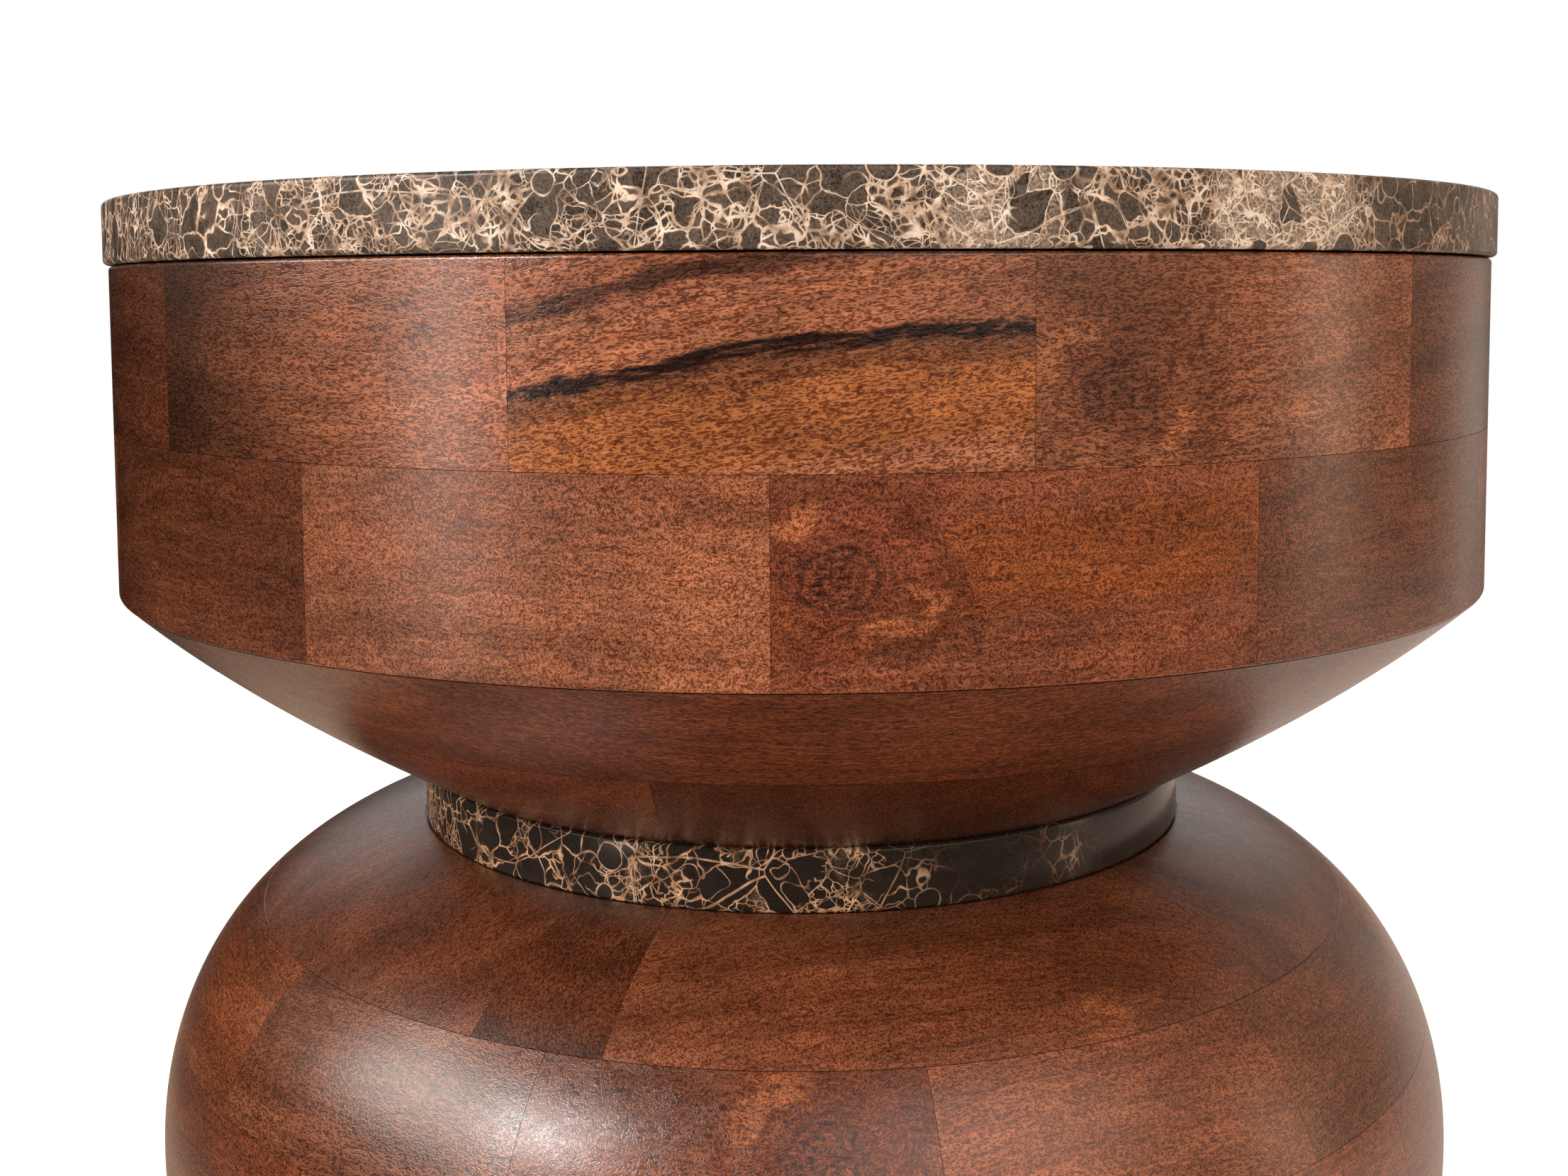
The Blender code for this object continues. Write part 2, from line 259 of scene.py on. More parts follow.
def softbox(name, azimuth, elevation, distance, size, watts, tint=(1, 1, 1), sheen_only=False):
    """An area lamp, placed by its angle right of the front and its height above the aim."""
    lamp = bpy.data.lights.new(name, "AREA")
    lamp.shape = "RECTANGLE"
    lamp.size, lamp.size_y = size
    lamp.energy = watts
    lamp.color = tint
    turn, rise = math.radians(azimuth), math.radians(elevation)
    away = Vector(
        (math.cos(rise) * math.sin(turn), -math.cos(rise) * math.cos(turn), math.sin(rise))
    )
    obj = bpy.data.objects.new(name, lamp)
    obj.location = LAMP_AIM + away * distance
    obj.rotation_euler = (-away).to_track_quat("-Z", "Y").to_euler()
    obj.visible_diffuse = not sheen_only
    bpy.context.scene.collection.objects.link(obj)


# Name, degrees right of the front, degrees up, distance, size, watts
softbox("left_strip", -50, 4, 1.6, (0.22, 0.9), 4.4, (1.0, 0.93, 0.86))
softbox("upper_left_softbox", -46, 36, 1.7, (0.34, 0.34), 5.5)
softbox("upper_left_window", -50, 34, 1.7, (0.36, 0.30), 14.0, sheen_only=True)
softbox("left_softbox", -78, 32, 1.7, (0.60, 0.60), 3.2, (1.0, 0.90, 0.80))
softbox("left_window", -76, 31, 1.7, (0.90, 0.80), 17.0, (1.0, 0.94, 0.87), sheen_only=True)
softbox("far_left_screen", -106, 17, 1.7, (0.70, 0.50), 0.45, WARM, sheen_only=True)
softbox("right_strip", 82, 4, 1.7, (0.20, 0.9), 2.3, WARM)
print("lamps:", len(bpy.data.lights))

# %% [markdown]
# ## World
#
# Round the table is white paper and a dim room. One even white world would wash the lacquer out,
# so the world answers each kind of ray in its own way. The camera sees plain white. A reflection
# sees white paper behind the table, a grey wall on the right, a bright patch high in front and a
# narrow one at the right edge. The wood itself is lit by a dome that is strongest in front.

# %% World
HORIZON, BEHIND, WHITE_BEHIND = (0.02, 0.20), (0.70, 0.92), 1.0
WALL_RIGHT, WALL_BACK, WALL, GREY_RIGHT = 0.9, 0.3, (0.0, 0.6), 0.20
WALL_RISE, WALL_LOW, WALL_HIGH = (-0.02, 0.14), 0.6, 2.2
SHEEN_AIM, SHEEN_PATCH, SHEEN_UPPER = (0.44, -0.60, 0.67), (0.82, 0.97), 2.8
EDGE_AIM, EDGE_PATCH, EDGE_GLOW = (0.72, 0.69, -0.05), (0.965, 0.996), 0.70
DOME_AIM, DOME_SPAN, DOME_EVEN, DOME_FRONT = (0.27, -0.82, 0.50), (-0.2, 1.0), 0.02, 1.12
SKY_LEFT, SKY_RIGHT, SKY_TURN = (1.0, 0.97, 0.93, 1), (1.0, 0.80, 0.62, 1), (0.2, 0.9)
SKY_SEEN = (1, 1, 1, 1)

world = bpy.data.worlds.new("studio")
world.use_nodes = True
world.cycles.sampling_method = "NONE"
bpy.context.scene.world = world
sky = world.node_tree
sky.nodes.clear()
rays = put(sky, "ShaderNodeLightPath").outputs
towards = put(sky, "ShaderNodeTexCoord").outputs["Generated"]
to_right, to_back, to_top = split(towards)


def sky_patch(aim, span, low, high):
    """A bright patch of the world round the direction that it is aimed at."""
    return fade(vec("DOT_PRODUCT", towards, aim, output="Value"), *span, low, high)


seen = largest(rays["Is Camera Ray"], rays["Is Transmission Ray"])
behind = times(fade(to_top, *HORIZON), fade(to_back, *BEHIND, 0.0, WHITE_BEHIND))
beside = calc("MULTIPLY_ADD", to_right, WALL_RIGHT, times(to_back, WALL_BACK))
beside = fade(beside, *WALL, 0.0, GREY_RIGHT)
beside = times(beside, fade(to_top, *WALL_RISE, WALL_LOW, WALL_HIGH))
upper = sky_patch(SHEEN_AIM, SHEEN_PATCH, 0.0, SHEEN_UPPER)
edge = sky_patch(EDGE_AIM, EDGE_PATCH, 0.0, EDGE_GLOW)
mirrored = times(rays["Is Glossy Ray"], largest(upper, edge, behind, beside))
dome = sky_patch(DOME_AIM, DOME_SPAN, DOME_EVEN, DOME_FRONT)
lit = times(calc("SUBTRACT", 1.0, rays["Is Glossy Ray"]), dome)
sky_tint = mix(fade(to_right, *SKY_TURN), SKY_LEFT, SKY_RIGHT)
studio = {"Color": mix(seen, sky_tint, SKY_SEEN), "Strength": largest(seen, mirrored, lit)}
backdrop = put(sky, "ShaderNodeBackground", studio)
put(sky, "ShaderNodeOutputWorld", {"Surface": backdrop.outputs[0]})
print("world nodes:", len(sky.nodes))

# %% [markdown]
# ## Floor
#
# A round sheet of pale paper lies under the table. It could be a plane that runs to the horizon,
# but a disc that glows towards its rim melts into the white behind it and still keeps the
# table's shadow. In reflections the paper is painted instead: a warm painted reflection, painted
# dark on the left and in front, and a painted glow on the right.

# %% Floor
FLOOR_RADIUS, FLOOR_STEPS = 1.3, 96
FLOOR_PAPER = (0.86, 0.855, 0.85, 1.0)
TOOTH_PER_METRE, TOOTH_SHADE = 600.0, (0.985, 1.0)
FLOOR_PAINTED_REFLECTION, FLOOR_PAINTED_DARK, DARKEST = (0.92, 0.69, 0.52, 1.0), (0.05, 0.035, 0.027, 1.0), 0.95
DARK_LEFT, DARK_FRONT = (-0.55, -0.32), (-0.50, -0.20)
GLOW_RIGHT, FLOOR_PAINTED_GLOW = (0.15, 0.35), 0.27
GLOW_REACH, PAPER_GLOW = (0.35, 1.1), (0.74, 1.0)

floor_bm = bmesh.new()
bmesh.ops.create_circle(floor_bm, cap_ends=True, segments=FLOOR_STEPS, radius=FLOOR_RADIUS)
floor_mesh = bpy.data.meshes.new("paper_floor")
floor_bm.to_mesh(floor_mesh)
floor_bm.free()
floor = bpy.data.objects.new("paper_floor", floor_mesh)
bpy.context.scene.collection.objects.link(floor)

floor_paper, paper_tree, paper_shader = fresh_material("floor_paper")
floor_spot = put(paper_tree, "ShaderNodeTexCoord").outputs["Object"]
floor_x, floor_y, _ = split(floor_spot)
floor_rays = put(paper_tree, "ShaderNodeLightPath").outputs
tooth = noise(scaled(floor_spot, TOOTH_PER_METRE), seed=3.0, detail=4.0)[0]
paper_tint = mix(1.0, FLOOR_PAPER, fade(tooth, 0.3, 0.7, *TOOTH_SHADE), "MULTIPLY")
# For reflections only the paper is painted: warm, painted dark on the left and in front.
dark = largest(fade(floor_x, *DARK_LEFT, DARKEST, 0.0), fade(floor_y, *DARK_FRONT, DARKEST, 0.0))
paper_tint = mix(floor_rays["Is Glossy Ray"], paper_tint, mix(dark, FLOOR_PAINTED_REFLECTION, FLOOR_PAINTED_DARK))
from_table = vec("LENGTH", floor_spot, output="Value")
glow = times(floor_rays["Is Camera Ray"], fade(from_table, *GLOW_REACH, *PAPER_GLOW))
# A painted glow on the right of the paper, seen only in reflections.
painted_glow = fade(floor_x, *GLOW_RIGHT, 0.0, FLOOR_PAINTED_GLOW)
painted_glow = times(painted_glow, calc("SUBTRACT", 1.0, dark))
glow = calc("MULTIPLY_ADD", floor_rays["Is Glossy Ray"], painted_glow, glow)
paper_look = {"Base Color": paper_tint, "Roughness": 0.9, "Emission Strength": glow}
feed(paper_shader, {**paper_look, "Emission Color": (1, 1, 1, 1)})
floor_mesh.materials.append(floor_paper)
print("floor faces:", len(floor_mesh.polygons))

# %% [markdown]
# ## Wood: rings of a tree
#
# The blocks are a red-brown hardwood with a few black ribbons. A picture of wood would repeat
# from block to block, so the grain is worked out in space. A tree is a stack of rings round a
# pith, and each point of a block asks how far it lies from the pith of its own board. The fibres
# of the board sway, so the point is first shifted by noise. In curly boards they swirl as well.

# %% Wood rings
SWAY, SWAY_REACH = (0.010, 0.030, 0.030), (0.0, 6.0, 6.0)
SWIRL, SWIRL_REACH = (0.10, 0.16, 0.16), (9.0, 8.0, 8.0)
HALF = (0.5, 0.5, 0.5)

BOARD_INPUTS = [
    ("Board", "Vector"), ("Seed", "Float"), ("Look", "Vector"), ("Shade", "Vector"),
    ("Knot", "Vector"),
]
grain, wood, wood_end = shader_group("wood_grain", BOARD_INPUTS, FINISH_OUTPUTS)
board = scaled(wood["Board"], MILLIMETRES)
tone, streak, golden = split(wood["Look"])
slope, red, curly = split(wood["Shade"])


def wander(frequency, step, reach):
    """A random shift of the place in the board, in millimetres."""
    colour = noise(vec("MULTIPLY", board, frequency), calc("ADD", wood["Seed"], step))[1]
    return vec("MULTIPLY", vec("SUBTRACT", colour, HALF), reach)


def figure(place, run, across, step, detail=2.0, roughness=0.5):
    """A noise of the board, with so many features in a millimetre along it and across it."""
    linked = isinstance(run, bpy.types.NodeSocket)
    frequency = join(run, across, across) if linked else (run, across, across)
    seed = calc("ADD", wood["Seed"], step)
    return noise(vec("MULTIPLY", place, frequency), seed, detail, roughness)[0]


def hypotenuse(first, second):
    """The longest side of a right triangle."""
    return calc("SQRT", calc("ADD", times(first, first), times(second, second)))


fibre_line = vec("ADD", board, wander(SWAY, 0.0, SWAY_REACH))
fibre_line = vec("ADD", fibre_line, scaled(wander(SWIRL, 5.0, SWIRL_REACH), curly))
along, depth, height = split(fibre_line)
ring = hypotenuse(depth, height)
print("wood rings laid out, nodes:", len(grain.nodes))

# %% [markdown]
# ## Wood: knots
#
# A knot is where a branch left the trunk, and the rings bend round it. It could be a piece of its
# own, but on a sanded block it is only a mark. So the distance from the knot's middle, made
# uneven by noise, pushes the rings aside, and the same distance colours the knot further on.

# %% Wood knots
KNOT_SPAN = 34.0
KNOT_SQUEEZE, KNOT_PUSH = 0.8, 30.0
KNOT_UNEVEN = (0.72, 1.32)

knot_at_along, knot_at_up, knot_size = split(wood["Knot"])
knot_along = times(calc("SUBTRACT", along, knot_at_along), KNOT_SQUEEZE)
knot_up = calc("SUBTRACT", height, knot_at_up)
knot_near = hypotenuse(knot_along, knot_up)
knot_side = calc("DIVIDE", knot_along, calc("MAXIMUM", knot_near, 0.5))
knot_square = calc("MAXIMUM", times(knot_near, knot_near), 1.0)
knot_cross = calc("DIVIDE", times(knot_along, knot_up), knot_square)
uneven = figure(board, 0.05, 0.09, step=17.0, detail=3.0, roughness=0.6)
knot_near = times(knot_near, fade(uneven, 0.25, 0.75, *KNOT_UNEVEN))
knot_pull = times(fade(knot_near, 0.0, KNOT_SPAN, 1.0, 0.0), knot_size)
ring = calc("ADD", ring, times(knot_pull, KNOT_PUSH))
print("a knot reaches %.0f mm" % KNOT_SPAN)

# %% [markdown]
# ## Wood: bands, gold and ribbons
#
# Along the rings the wood goes from dark to light brown, and in some boards it is golden or has
# black ribbons. Random bands alone would put the ribbons anywhere, so ribbons and gold follow two
# ramps over 80 mm of rings, which repeat. Where a board lies on them is up to its pith.

# %% Wood bands and ribbons
WOOD_BANDS = (
    (0.18, (0.140, 0.038, 0.014)),
    (0.36, (0.215, 0.062, 0.023)),
    (0.52, (0.280, 0.086, 0.034)),
    (0.68, (0.345, 0.114, 0.047)),
    (0.86, (0.400, 0.142, 0.062)),
)
BANDS_RUN, BANDS_ACROSS = 0.0035, 0.15
GOLD = (0.268, 0.073, 0.013, 1.0)
RIBBON = (0.016, 0.004, 0.002, 1.0)
RING_SPAN, RAGGED = 80.0, 4.5
GOLD_RINGS = ((0.00, 1.00), (0.06, 1.00), (0.12, 0.00), (0.80, 0.00), (0.86, 1.00), (1.00, 1.00))
RIBBON_RINGS = (
    (0.000, 0.00), (0.425, 0.00), (0.445, 0.40), (0.465, 0.34), (0.480, 0.00), (0.548, 0.00),
    (0.562, 0.78), (0.594, 0.72), (0.608, 0.12), (0.628, 0.14), (0.638, 0.50), (0.650, 0.08),
    (0.690, 0.00), (0.766, 0.00), (0.776, 1.00), (0.812, 0.97), (0.824, 0.52), (0.872, 0.42),
    (0.892, 0.06), (0.960, 0.00),
)

ring_place = join(times(along, BANDS_RUN), times(ring, BANDS_ACROSS), 0.0)
bands = noise(ring_place, calc("ADD", wood["Seed"], 11.0), detail=4.0, roughness=0.55)[0]
colour = ramp(bands, WOOD_BANDS)
ragged = figure(board, 0.05, 0.35, step=29.0, detail=3.0, roughness=0.6)
ragged = times(calc("SUBTRACT", ragged, 0.5), RAGGED)
ring_share = calc("FRACT", calc("DIVIDE", calc("ADD", ring, ragged), RING_SPAN))
colour = mix(times(ramp(ring_share, GOLD_RINGS), golden), colour, GOLD)
thread = figure(fibre_line, 0.04, 0.9, step=31.0)
ribbon = times(ramp(ring_share, RIBBON_RINGS), fade(thread, 0.28, 0.52, 0.45, 1.0))
colour = mix(calc("MULTIPLY", ribbon, streak, clamp=True), colour, RIBBON)
print("stops of the ribbon ramp over %.0f mm of rings:" % RING_SPAN, len(RIBBON_RINGS))

# %% [markdown]
# ## Wood: colours of a knot
#
# A knot has a dark speckled heart, fine lines round it, and orange flames where the fibres turn
# towards the eye. Each part is a belt at some distance from the middle. The flames only show on
# two opposite sides of the knot, and one side has a dark arc.

# %% Knot colours
KNOT_RINGS = (
    (0.00, (0.125, 0.034, 0.015)),
    (0.10, (0.150, 0.040, 0.016)),
    (0.18, (0.170, 0.045, 0.018)),
    (0.25, (0.115, 0.030, 0.013)),
    (0.31, (0.190, 0.048, 0.017)),
    (0.60, (0.220, 0.056, 0.018)),
    (1.00, (0.260, 0.070, 0.020)),
)
KNOT_FLAME = (0.500, 0.165, 0.055, 1.0)
FLAME_BELT, ARC_BELT = (13.5, 16.0, 18.0, 22.0), (17.0, 20.0, 23.0, 27.0)
KNOT_FADE, HEART, SPECKS = (18.0, 34.0), (6.0, 14.0), (6.0, 12.0)
KNOT_LINES, KNOT_LINE_SHADE = 2.1, (0.66, 1.20)


def belt(value, start, full, ebb, end):
    """A mask that is full from one value to another and fades outside them."""
    return times(fade(value, start, full), fade(value, ebb, end, 1.0, 0.0))


knot_part = fade(figure(board, 0.035, 0.06, step=19.0), 0.36, 0.56, 0.45, 1.0)
knot_part = largest(knot_part, fade(knot_near, *HEART, 0.9, 0.0))
knot_part = times(fade(knot_near, *KNOT_FADE, 1.0, 0.0), times(knot_size, knot_part))
colour = mix(knot_part, colour, ramp(calc("DIVIDE", knot_near, KNOT_SPAN), KNOT_RINGS))
knot_line = fade(calc("SINE", times(knot_near, KNOT_LINES)), -1.0, 1.0, *KNOT_LINE_SHADE)
colour = mix(knot_pull, colour, tinted(colour, knot_line))
flame = times(belt(knot_near, *FLAME_BELT), fade(knot_cross, -0.36, -0.10, 1.0, 0.0))
flame = times(flame, fade(figure(fibre_line, 0.05, 0.30, step=23.0), 0.30, 0.50), knot_size)
colour = mix(flame, colour, KNOT_FLAME)
arc = times(belt(knot_near, *ARC_BELT), fade(knot_side, 0.0, 0.5, 0.0, 0.26))
speck = fade(figure(board, 0.28, 0.7, step=67.0, detail=1.0), 0.54, 0.64)
speck = times(speck, fade(knot_near, *SPECKS, 0.8, 0.0))
colour = mix(times(largest(arc, speck), knot_size), colour, RIBBON)
print("parts of a knot: heart, lines, flames, arc and specks")

# %% [markdown]
# ## Wood: fibre, flecks and pores
#
# From near, the wood is a felt of short flecks: dark ones are redder, light ones paler than the
# board. The pale flecks are partly painted glints and the dark ones partly painted shade, as if
# the lacquer's fine relief were lit. Plain noise gives soft blobs, but the sine of a noise gives
# thin curling lines along its levels, which is what cut fibres look like. Flecks, pores and fibre
# also make the relief that the lacquer shows. Tone, redness and a slope from end to end set each
# board apart.

# %% Wood fibre and relief
CLOUD_SHADE, FIBRE_SHADE = (0.76, 1.22), (0.66, 1.32)
FLECK_DARK, FLECK_LIGHT_AND_GLINT = (0.44, 0.28, 0.17, 1.0), (1.42, 1.60, 1.78, 1.0)
FLECK_LEVELS, FLECK_SPAN = 26.0, (-1.3, 1.1)
FLECKS_ACROSS, FLECKS_STRAIGHT, FLECKS_CURLY = 1.15, 0.38, 1.0
PORE_TINT, RED_TINT = (0.50, 0.42, 0.36, 1.0), (0.98, 0.74, 0.62, 1.0)
SLOPE_PER_MILLIMETRE, DARKEST_SLOPE = 0.01, 0.3
FIBRE_RELIEF, FLECK_RELIEF, PEBBLE_RELIEF, PORE_RELIEF = 0.3, 0.24, 0.7, -0.2
SATIN, FIBRE_DULL, PORE_DULL = 0.20, 0.10, 0.04

cloud = figure(board, 0.022, 0.05, step=37.0)
colour = tinted(colour, fade(cloud, 0.30, 0.70, *CLOUD_SHADE))
fibre = figure(fibre_line, 0.05, 1.1, step=41.0, detail=3.0, roughness=0.65)
colour = tinted(colour, fade(fibre, 0.28, 0.72, *FIBRE_SHADE))
fleck_run = fade(curly, 0.10, 0.50, FLECKS_STRAIGHT, FLECKS_CURLY)
fleck = figure(fibre_line, fleck_run, FLECKS_ACROSS, step=53.0)
fleck = calc("SINE", times(fleck, FLECK_LEVELS))
# Pale flecks are partly painted glints, dark ones partly painted shade of the fine relief.
colour = tinted(colour, mix(fade(fleck, *FLECK_SPAN), FLECK_DARK, FLECK_LIGHT_AND_GLINT))
pore = fade(figure(fibre_line, 0.45, 1.60, step=59.0, detail=1.0), 0.58, 0.70)
colour = mix(pore, colour, tinted(colour, PORE_TINT))
colour = mix(red, colour, tinted(colour, RED_TINT))
slanted = calc("MULTIPLY_ADD", times(split(board)[0], slope), SLOPE_PER_MILLIMETRE, 1.0)
colour = tinted(colour, times(tone, calc("MAXIMUM", slanted, DARKEST_SLOPE)))

pebble = figure(board, 0.9, 0.9, step=61.0, detail=1.0)
relief = calc("MULTIPLY_ADD", pebble, PEBBLE_RELIEF, times(pore, PORE_RELIEF))
relief = calc("MULTIPLY_ADD", fleck, FLECK_RELIEF, relief)
relief = calc("MULTIPLY_ADD", fibre, FIBRE_RELIEF, relief)
satin = calc("MULTIPLY_ADD", fibre, FIBRE_DULL, SATIN)
satin = calc("MULTIPLY_ADD", pore, PORE_DULL, satin)
feed(wood_end, {"Colour": colour, "Roughness": satin, "Height": relief})
print("wood grain nodes:", len(grain.nodes))

# %% [markdown]
# ## Lacquer on the blocks
#
# All wood has the same satin lacquer over the grain group: a soft gloss and a thin coat. A block
# can't work out its board from where it stands, because its grain follows the arc that it was
# cut to. So each block carries its board's place as a mesh attribute, and the finish reads it.

# %% Block finish
LACQUER = {"Specular IOR Level": 0.40, "Coat Weight": 0.25, "Coat Roughness": 0.30}
LACQUER_BUMP, LACQUER_BUMP_STRENGTH = 0.00010, 0.6


def lacquer(shader, inputs, line=None):
    """Feeds the grain of a board to a shader, with glue lines where there are some."""
    shown = put(shader.id_data, "ShaderNodeGroup", inputs, node_tree=grain).outputs
    tint = shown["Colour"] if line is None else mix(line, shown["Colour"], RIBBON)
    normal = bumped(shown["Height"], LACQUER_BUMP_STRENGTH, LACQUER_BUMP)
    look = {"Base Color": tint, "Roughness": shown["Roughness"], "Normal": normal}
    feed(shader, {**LACQUER, **look})


def carried(name, output="Vector"):
    """What a block carries as a mesh attribute."""
    return put(block_nodes, "ShaderNodeAttribute", attribute_name=name).outputs[output]


block_wood, block_nodes, block_shader = fresh_material("block_wood")
block_board = {"Board": carried("board"), "Seed": carried("block_seed", "Fac")}
for label in ("Look", "Shade", "Knot"):
    block_board[label] = carried("block_" + label.lower())
lacquer(block_shader, block_board)
print("block finish:", block_wood.name)

# %% [markdown]
# ## Lacquer on the panels
#
# The taper and the foot are panels of boards, glued edge to edge and then turned. Their boards
# run straight through, so here the place in a board comes from the table's own axes: counting
# board widths across the panel gives each board its number, its seed and its tone. A fine dark
# line marks each glued edge.

# %% Panel finishes
PANEL_PITH_LEVEL = 0.30
GLUE_LINE, GLUE_DARK = 0.0004, 0.8
SEED_STEP, TONE_STEP, TONE_CHANGE = 7.31, 2.4, 0.35
PANEL_SHADE, NO_KNOT = (0.0, 1.0, 0.1), (0.0, 0.0, 0.0)


def panel_wood(name, along_x, board_width, first_edge, seed, look, phase):
    """A finish for a panel of boards that run along X or along Y."""
    material, tree, shader = fresh_material(name)
    x, y, z = split(put(tree, "ShaderNodeTexCoord").outputs["Object"])
    run, cross = (x, y) if along_x else (y, x)
    count = calc("DIVIDE", calc("SUBTRACT", cross, first_edge), board_width)
    index, share = calc("FLOOR", count), calc("FRACT", count)
    from_pith = calc("MULTIPLY_ADD", share, board_width, -0.5 * board_width)
    up = calc("SUBTRACT", z, PANEL_PITH_LEVEL)
    to_edge = times(calc("MINIMUM", share, calc("SUBTRACT", 1.0, share)), board_width)
    change = calc("SINE", calc("MULTIPLY_ADD", index, TONE_STEP, phase))
    board_tone = calc("MULTIPLY_ADD", change, TONE_CHANGE * look[0], look[0])
    inputs = {
        "Board": join(run, from_pith, up),
        "Seed": calc("MULTIPLY_ADD", index, SEED_STEP, seed),
        "Look": join(board_tone, look[1], look[2]),
        "Shade": PANEL_SHADE,
        "Knot": NO_KNOT,
    }
    lacquer(shader, inputs, fade(to_edge, 0.0, GLUE_LINE, GLUE_DARK, 0.0))
    return material


cone_upper_wood = panel_wood(
    "cone_upper_wood", along_x=True, board_width=0.120, first_edge=-0.36, seed=3.0,
    look=(0.51, 0.15, 0.0), phase=0.7,
)
cone_lower_wood = panel_wood(
    "cone_lower_wood", along_x=False, board_width=0.110, first_edge=-0.369, seed=8.0,
    look=(0.43, 0.10, 0.0), phase=-3.23,
)
foot_wood = panel_wood(
    "foot_wood", along_x=True, board_width=0.090, first_edge=-0.33, seed=5.0,
    look=(0.70, 0.25, 0.1), phase=0.0,
)
print("panel finishes:", cone_upper_wood.name, cone_lower_wood.name, foot_wood.name)

# %% [markdown]
# ## Stone: lumps
#
# The stone is a breccia: dark lumps of every size, held in a net of tan veins. A photo of stone
# would show a seam where it wraps round the edge, so the stone is worked out in space, as cells
# of three sizes. Straight cells look like cracked mud, so their places are first warped by
# noise. How much of the stone is broken to lace is an input, because slab and collar differ.

# %% Stone lumps
# Size in millimetres and seed
LARGE, MIDDLE, FINE = (10.5, 3.0), (4.6, 11.0), (2.5, 19.0)
STONE_INPUTS = [
    ("Place", "Vector"), ("Lace", "Float"), ("Cream", "Float"), ("Lump light", "Float"),
    ("Vein tint", "Color"), ("Vein width", "Float"), ("Dullness", "Float"),
]
PATCHY, FINER = 1.6, 0.22

breccia, stone, stone_end = shader_group("breccia", STONE_INPUTS, FINISH_OUTPUTS)
spot = scaled(stone["Place"], MILLIMETRES)


def speckle(place, frequency, seed, detail=2.0, roughness=0.5):
    """A noise of so many features in a millimetre."""
    return noise(scaled(place, frequency), seed, detail, roughness)[0]


def warped(place, frequency, reach, seed):
    """A place moved about by noise, so that cells turn into rounded lumps."""
    shift = vec("SUBTRACT", noise(scaled(place, frequency), seed)[1], HALF)
    return vec("ADD", place, scaled(shift, reach))


def cells(place, size, seed, feature="F1"):
    """Cells of a size in millimetres."""
    moved = vec("ADD", scaled(place, 1.0 / size), (seed, 0.0, 0.0))
    inputs = {"Vector": moved, "Scale": 1.0}
    return put(breccia, "ShaderNodeTexVoronoi", inputs, feature=feature).outputs


def edge_of(place, size, seed):
    """How far a point lies from the edge of its cell, in millimetres."""
    return times(cells(place, size, seed, "DISTANCE_TO_EDGE")["Distance"], size)


def chosen_where(chance):
    """A mask of the cells whose chance is less than the share of lace."""
    return fade(calc("SUBTRACT", laced, chance), 0.0, 0.02)


lump_place = warped(warped(spot, 0.035, 14.0, seed=1.0), 0.17, 4.0, seed=2.0)
lace_place = warped(lump_place, 0.45, 1.5, seed=4.0)
chance_large = split(cells(lump_place, *LARGE)["Color"])[0]
chance_middle = split(cells(lace_place, *MIDDLE)["Color"])[0]
patch = calc("MULTIPLY_ADD", speckle(spot, 0.030, seed=6.0), PATCHY, -PATCHY / 2)
laced = calc("ADD", stone["Lace"], patch)
veined = fade(laced, -0.15, 0.20)
broken = chosen_where(chance_large)
crumbled = times(broken, chosen_where(calc("ADD", chance_middle, FINER)))
print("stone cells of %.1f, %.1f and %.1f mm" % (LARGE[0], MIDDLE[0], FINE[0]))

# %% [markdown]
# ## Stone: veins
#
# Veins run along the edges of the cells. They swell and thin out over a few millimetres, and in
# some places they gather to thick trunks. Each has a bright core and a brown glow. The largest
# cells have veins wherever the stone is veined at all, the smaller ones where it is broken.

# %% Stone veins
LARGE_VEIN, MIDDLE_VEIN, FINE_VEIN = 0.17, 0.135, 0.105
SWELL, TRUNK = (0.6, 1.5), (0.68, 1.8)
CORE, GLOW = (0.65, 1.2), (0.8, 3.0)
FINE_CORE = 0.85
LARGE_GLOW, MIDDLE_GLOW, FINE_GLOW = 0.45, 0.5, 0.8

swell = fade(speckle(spot, 0.25, seed=5.0), 0.30, 0.70, *SWELL)
trunk = fade(speckle(spot, 0.075, seed=16.0, detail=1.0), 0.40, 0.66, *TRUNK)


def vein(edge, half_width):
    """A vein along the cells' edges: its bright core and the glow round it."""
    thin = calc("DIVIDE", edge, times(stone["Vein width"], half_width, swell, trunk))
    return fade(thin, *CORE, 1.0, 0.0), fade(thin, *GLOW, 1.0, 0.0)


large_core, large_glow = vein(edge_of(lump_place, *LARGE), LARGE_VEIN)
middle_core, middle_glow = vein(edge_of(lace_place, *MIDDLE), MIDDLE_VEIN)
fine_core, fine_glow = vein(edge_of(lace_place, *FINE), FINE_VEIN)
net = largest(
    times(large_core, veined), times(middle_core, broken), times(fine_core, crumbled, FINE_CORE)
)
glow = largest(
    times(large_glow, veined, LARGE_GLOW), times(middle_glow, broken, MIDDLE_GLOW),
    times(fine_glow, crumbled, FINE_GLOW),
)
print("stone nodes so far:", len(breccia.nodes))

# %% [markdown]
# ## Stone: eggs, curls and cracks
#
# Three more marks keep the net from looking even: round dark eggs with a pale skin, loose curls
# of vein, and long cracks that cross everything. Eggs are spheres round the middles of sparse
# cells, curls follow one level of a noise, and cracks are the edges of very large cells.

# %% Eggs, curls and cracks
EGG_CELL, EGG_SMALLEST, EGG_GROWTH, EGG_SHARE = 15.0, 2.2, 2.6, (0.52, 0.54)
EGG_SKIN = (0.10, 0.30)
CURL, CURL_PLACES = (0.006, 0.016), (0.42, 0.56)
CRACK_CELL, CRACK, CRACK_STRENGTH = 46.0, (0.06, 0.22), 0.9

